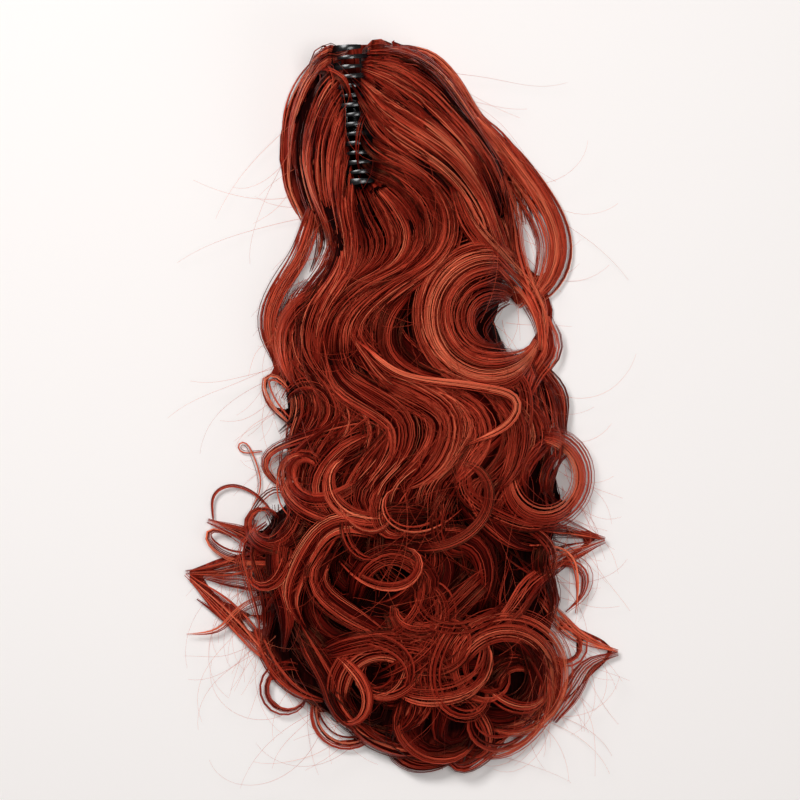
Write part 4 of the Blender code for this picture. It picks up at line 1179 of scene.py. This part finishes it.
def underHair():
    form = underForm
    piece, work = nodeCopy("hair", "underHair")
    work.normal_update()
    loose = []
    for vert in work.verts:
        spot = np.array(vert.co)[:2]
        outside = abs(massOffset(spot)) > form["looseEdge"] or vert.co.y < form["frontEnd"]
        beyond = fadeShare(form["hollowEnd"] - vert.co.y, form["hollowFade"])
        if vert.normal.z > 0.1 and vert.co.z > massHeight(spot) * 0.75:
            side = (vert.co - hingePlace).dot(clipSide)
            start = form["movingSide" if side > 0 else "stillSide"]
            beyond = max(beyond, fadeShare(abs(side) - start, form["sideFade"]))
        loose.append(float(outside or vert.co.y > form["clipEnd"]))
        vert.co -= vert.normal * form["inwards"]
        vert.co.z *= form["looseHeight"] if outside else 1 - form["lowered"] * beyond
        vert.co.z = max(vert.co.z, 0)
    for face in work.faces:
        face.smooth = True
    work.to_mesh(piece.data)
    work.free()
    # the loose attribute marks where the underlayer takes the lighter painted shade
    piece.data.attributes.new("loose", "FLOAT", "POINT").data.foreach_set("value", loose)
    piece.data.materials.clear()
    piece.data.materials.append(underFinish)
    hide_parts("hair")
    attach(piece, "root")
    return piece


underHair()
print("underlayer ready")


def namedLocks():  # shape, tone and strands of each, those over the moving jaw apart
    still, moving = [], []
    for name, (halfWidth, root, tip, tone, count, *places) in falls.items():
        step = hairForm["step"]
        if halfWidth <= hairForm["smallLock"]:
            step = hairForm["smallStep"]
        if halfWidth <= hairForm["fineLock"]:
            step = hairForm["fineStep"]
        shape = lockShape(fallRoute(places, step), halfWidth, (root, tip))
        (moving if name.startswith("jaw") else still).append((shape, tone, count))
    for halfWidth, root, tip, tone, count, *curl in curls.values():
        still.append((lockShape(curlRoute(*curl), halfWidth, (root, tip)), tone, count))
    return still, moving


# Loose curls in the lower half, where the hair's ends wind up tighter and tighter
ringletForm = {
    "count": 38,
    "across": (14, 86),
    "down": (56, 93),
    "edge": 0.93,
    "turn": 0.5,
    "length": (0.06, 0.13),
    "firstBend": 10,
    "lastBend": (60, 150),
    "step": 0.005,
    "levels": (0.90, 1.03),
    "halfWidth": (0.9, 2.3),
    "tones": (0.48, 0.72),
    "strands": (14, 30),
}


def ringletLocks():
    form = ringletForm
    made = []
    while len(made) < form["count"]:
        start = atShares(luck.uniform(*form["across"]), luck.uniform(*form["down"]))
        if abs(massOffset(start)) > form["edge"]:
            continue
        heading = flowHeading(grid, start, form["turn"])
        turn = 1 if luck.random() < 0.5 else -1
        length = luck.uniform(*form["length"])
        lastBend = turn * luck.uniform(*form["lastBend"])
        flat = bentPath(start, heading, length, turn * form["firstBend"], lastBend, form["step"])
        if (np.abs(massOffset(flat)) > 1.08).any() or (flat[:, 1] < hairForm["frontEnd"]).any():
            continue
        level = luck.uniform(*form["levels"])
        shape = lockShape(flat, luck.uniform(*form["halfWidth"]), (level, level - luck.uniform(0, 0.08)))
        tone = luck.uniform(*form["tones"])
        made.append((shape, tone, int(luck.uniform(*form["strands"]))))
    return made


# Short locks that lie with the flow and fill what is between the others
fillerForm = {
    "count": 210,
    "down": (2, 97),
    "across": (13, 88),
    "sparseDown": 34,  # half as many nearer the clip than this
    "edge": 0.96,
    "length": (0.06, 0.17),
    "lowEnd": -0.06,
    "middle": 0.72,
    "levels": (0.80, 0.92),
    "lowLevels": (0.62, 0.92),
    "edgeLevels": (0.40, 0.86),
    "halfWidth": (0.9, 2.8),
    # painted shade: fillers lie under the other locks, so their tones are darker, and darker still in the
    # lower half among the curls
    "tones": (0.30, 0.54),
    "lowTones": (0.12, 0.36),
    "strands": (8, 18),
    "jawWidth": 0.045,  # from the hinge, where fillers go into the pieces of hair beside the moving jaw
    "jawLength": 0.055,
}


def fillerLocks():
    form = fillerForm
    seeds, lengths = [], []
    while len(seeds) < form["count"]:
        down = luck.uniform(*form["down"])
        if down < form["sparseDown"] and luck.random() < 0.5:
            continue
        spot = atShares(luck.uniform(*form["across"]), down)
        if abs(massOffset(spot)) < form["edge"] and not overClip(spot):
            seeds.append(spot)
            lengths.append(luck.uniform(*form["length"]))
    still, moving = [], []
    for route in flowRoutes(grid, np.array(seeds), lengths):
        low = route[:, 1].mean() < form["lowEnd"]
        levels = form["lowLevels" if low else "levels"]
        if abs(massOffset(route.mean(axis=0))) >= form["middle"]:
            levels = form["edgeLevels"]
        level = luck.uniform(*levels)
        halfWidth = luck.uniform(*form["halfWidth"])
        shape = lockShape(route, halfWidth, (level, level - luck.uniform(-0.03, 0.05)))
        along, side = clipPlace(route)
        beside = (side > 0) & (side < form["jawWidth"]) & (np.abs(along) < form["jawLength"])
        tone = luck.uniform(*form["lowTones" if low else "tones"])
        (moving if beside.any() else still).append((shape, tone, int(luck.uniform(*form["strands"]))))
    return still, moving


def guideRoutes():
    sheets = (crownRight, crownWave, crownLeft, slitFall, middleWave, leftWave)
    return [fallRoute(row[2:], 0.005) for sheet in sheets for row in sheet.values()]


named, overJaw = namedLocks()
grid = flowGrid(guideRoutes() + [shape["route"] for shape, tone, count in named])
ringlets = ringletLocks()
fillers, jawFillers = fillerLocks()
print(len(named + overJaw), "named locks,", len(ringlets), "ringlets,", len(fillers + jawFillers), "fillers")

# Where along the hair each pool of locks ends, and how full its locks are
poolForm = {
    "upperEnd": 0.02,
    "middleEnd": -0.10,
    "brightEnd": -0.05,
    # painted light: the upper locks a little lighter; painted shade: the lower locks darker on average, with
    # a random spread
    "brightTone": 0.05,
    "lowTone": (-0.04, 0.07),
    "brightStrands": 1.2,
    "lowStrands": 1.06,
    "underEnd": -0.08,
    "underStrands": 0.9,
    "sideStrands": 0.8,
    "coreEdge": 0.9,
    "coreWidth": 0.006,
}


def poolLocks():
    form = poolForm
    made = {"upperLocks": [], "middleLocks": [], "lowerLocks": [], "underLocks": [], "sideLocks": []}
    for shape, tone, count in named + ringlets:
        y = shape["route"][:, 1].mean()
        pool = "upperLocks" if y > form["upperEnd"] else "lowerLocks"
        if form["middleEnd"] < y <= form["upperEnd"]:
            pool = "middleLocks"
        bright = y > form["brightEnd"]
        # painted light on the upper locks, painted shade on the lower ones
        tone += form["brightTone"] if bright else luck.normal(*form["lowTone"])
        full = form["brightStrands" if bright else "lowStrands"]
        made[pool] += lockStrands(shape, tone, int(count * full))
    for shape, tone, count in fillers:
        under = shape["route"][:, 1].mean() > form["underEnd"]
        full = form["underStrands" if under else "sideStrands"]
        made["underLocks" if under else "sideLocks"] += lockStrands(shape, tone, int(count * full))
    return made


pools = poolLocks()
pools["crownHairLeft"] = sheetStrands(crownLeft, count=560, layers=0.008, tone=0.66)
pools["crownHairLeft"] += sheetStrands(slitFall, count=260, layers=0.008, tone=0.56)
pools["waveUnder"] = sheetStrands(waveUnder, count=170, layers=0.008, tone=0.50)
pools["waveHair"] = sheetStrands(middleWave, count=480, layers=0.009, tone=0.62, tuck=0)
pools["waveHair"] += sheetStrands(leftWave, count=240, layers=0.009, tone=0.56, tuck=0)
pools["looseHair"] = looseStrands(grid, count=170)
pools["strayHair"] = strayStrands(count=250)
for name, strands in pools.items():
    strandMesh(name, strands, fibreFinish, "root")
cored = []
for shape, tone, count in named + fillers:
    inside = np.abs(massOffset(shape["route"])).max() < poolForm["coreEdge"]
    if inside and shape["width"].max() > poolForm["coreWidth"]:
        cored.append(lockCore(shape))
tubeMesh("lockCores", [ring for ring, spot in cored], [spot for ring, spot in cored], coreFinish, "root")
print("still hair ready")

# The hair beside the moving jaw, in pieces of its own apart from the still hair
jawStrands = []
for shape, tone, count in jawFillers + overJaw:
    jawStrands += lockStrands(shape, tone, count)
rightStrands = sheetStrands(crownRight, count=740, layers=0.009, tone=0.64)
waveStrands = sheetStrands(crownWave, count=540, layers=0.009, tone=0.56)
moving = [
    strandMesh("crownHairRight", rightStrands, fibreFinish),
    strandMesh("crownHairWave", waveStrands + jawStrands, fibreFinish),
]
for piece in moving:
    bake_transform(piece)
print("hair ready")
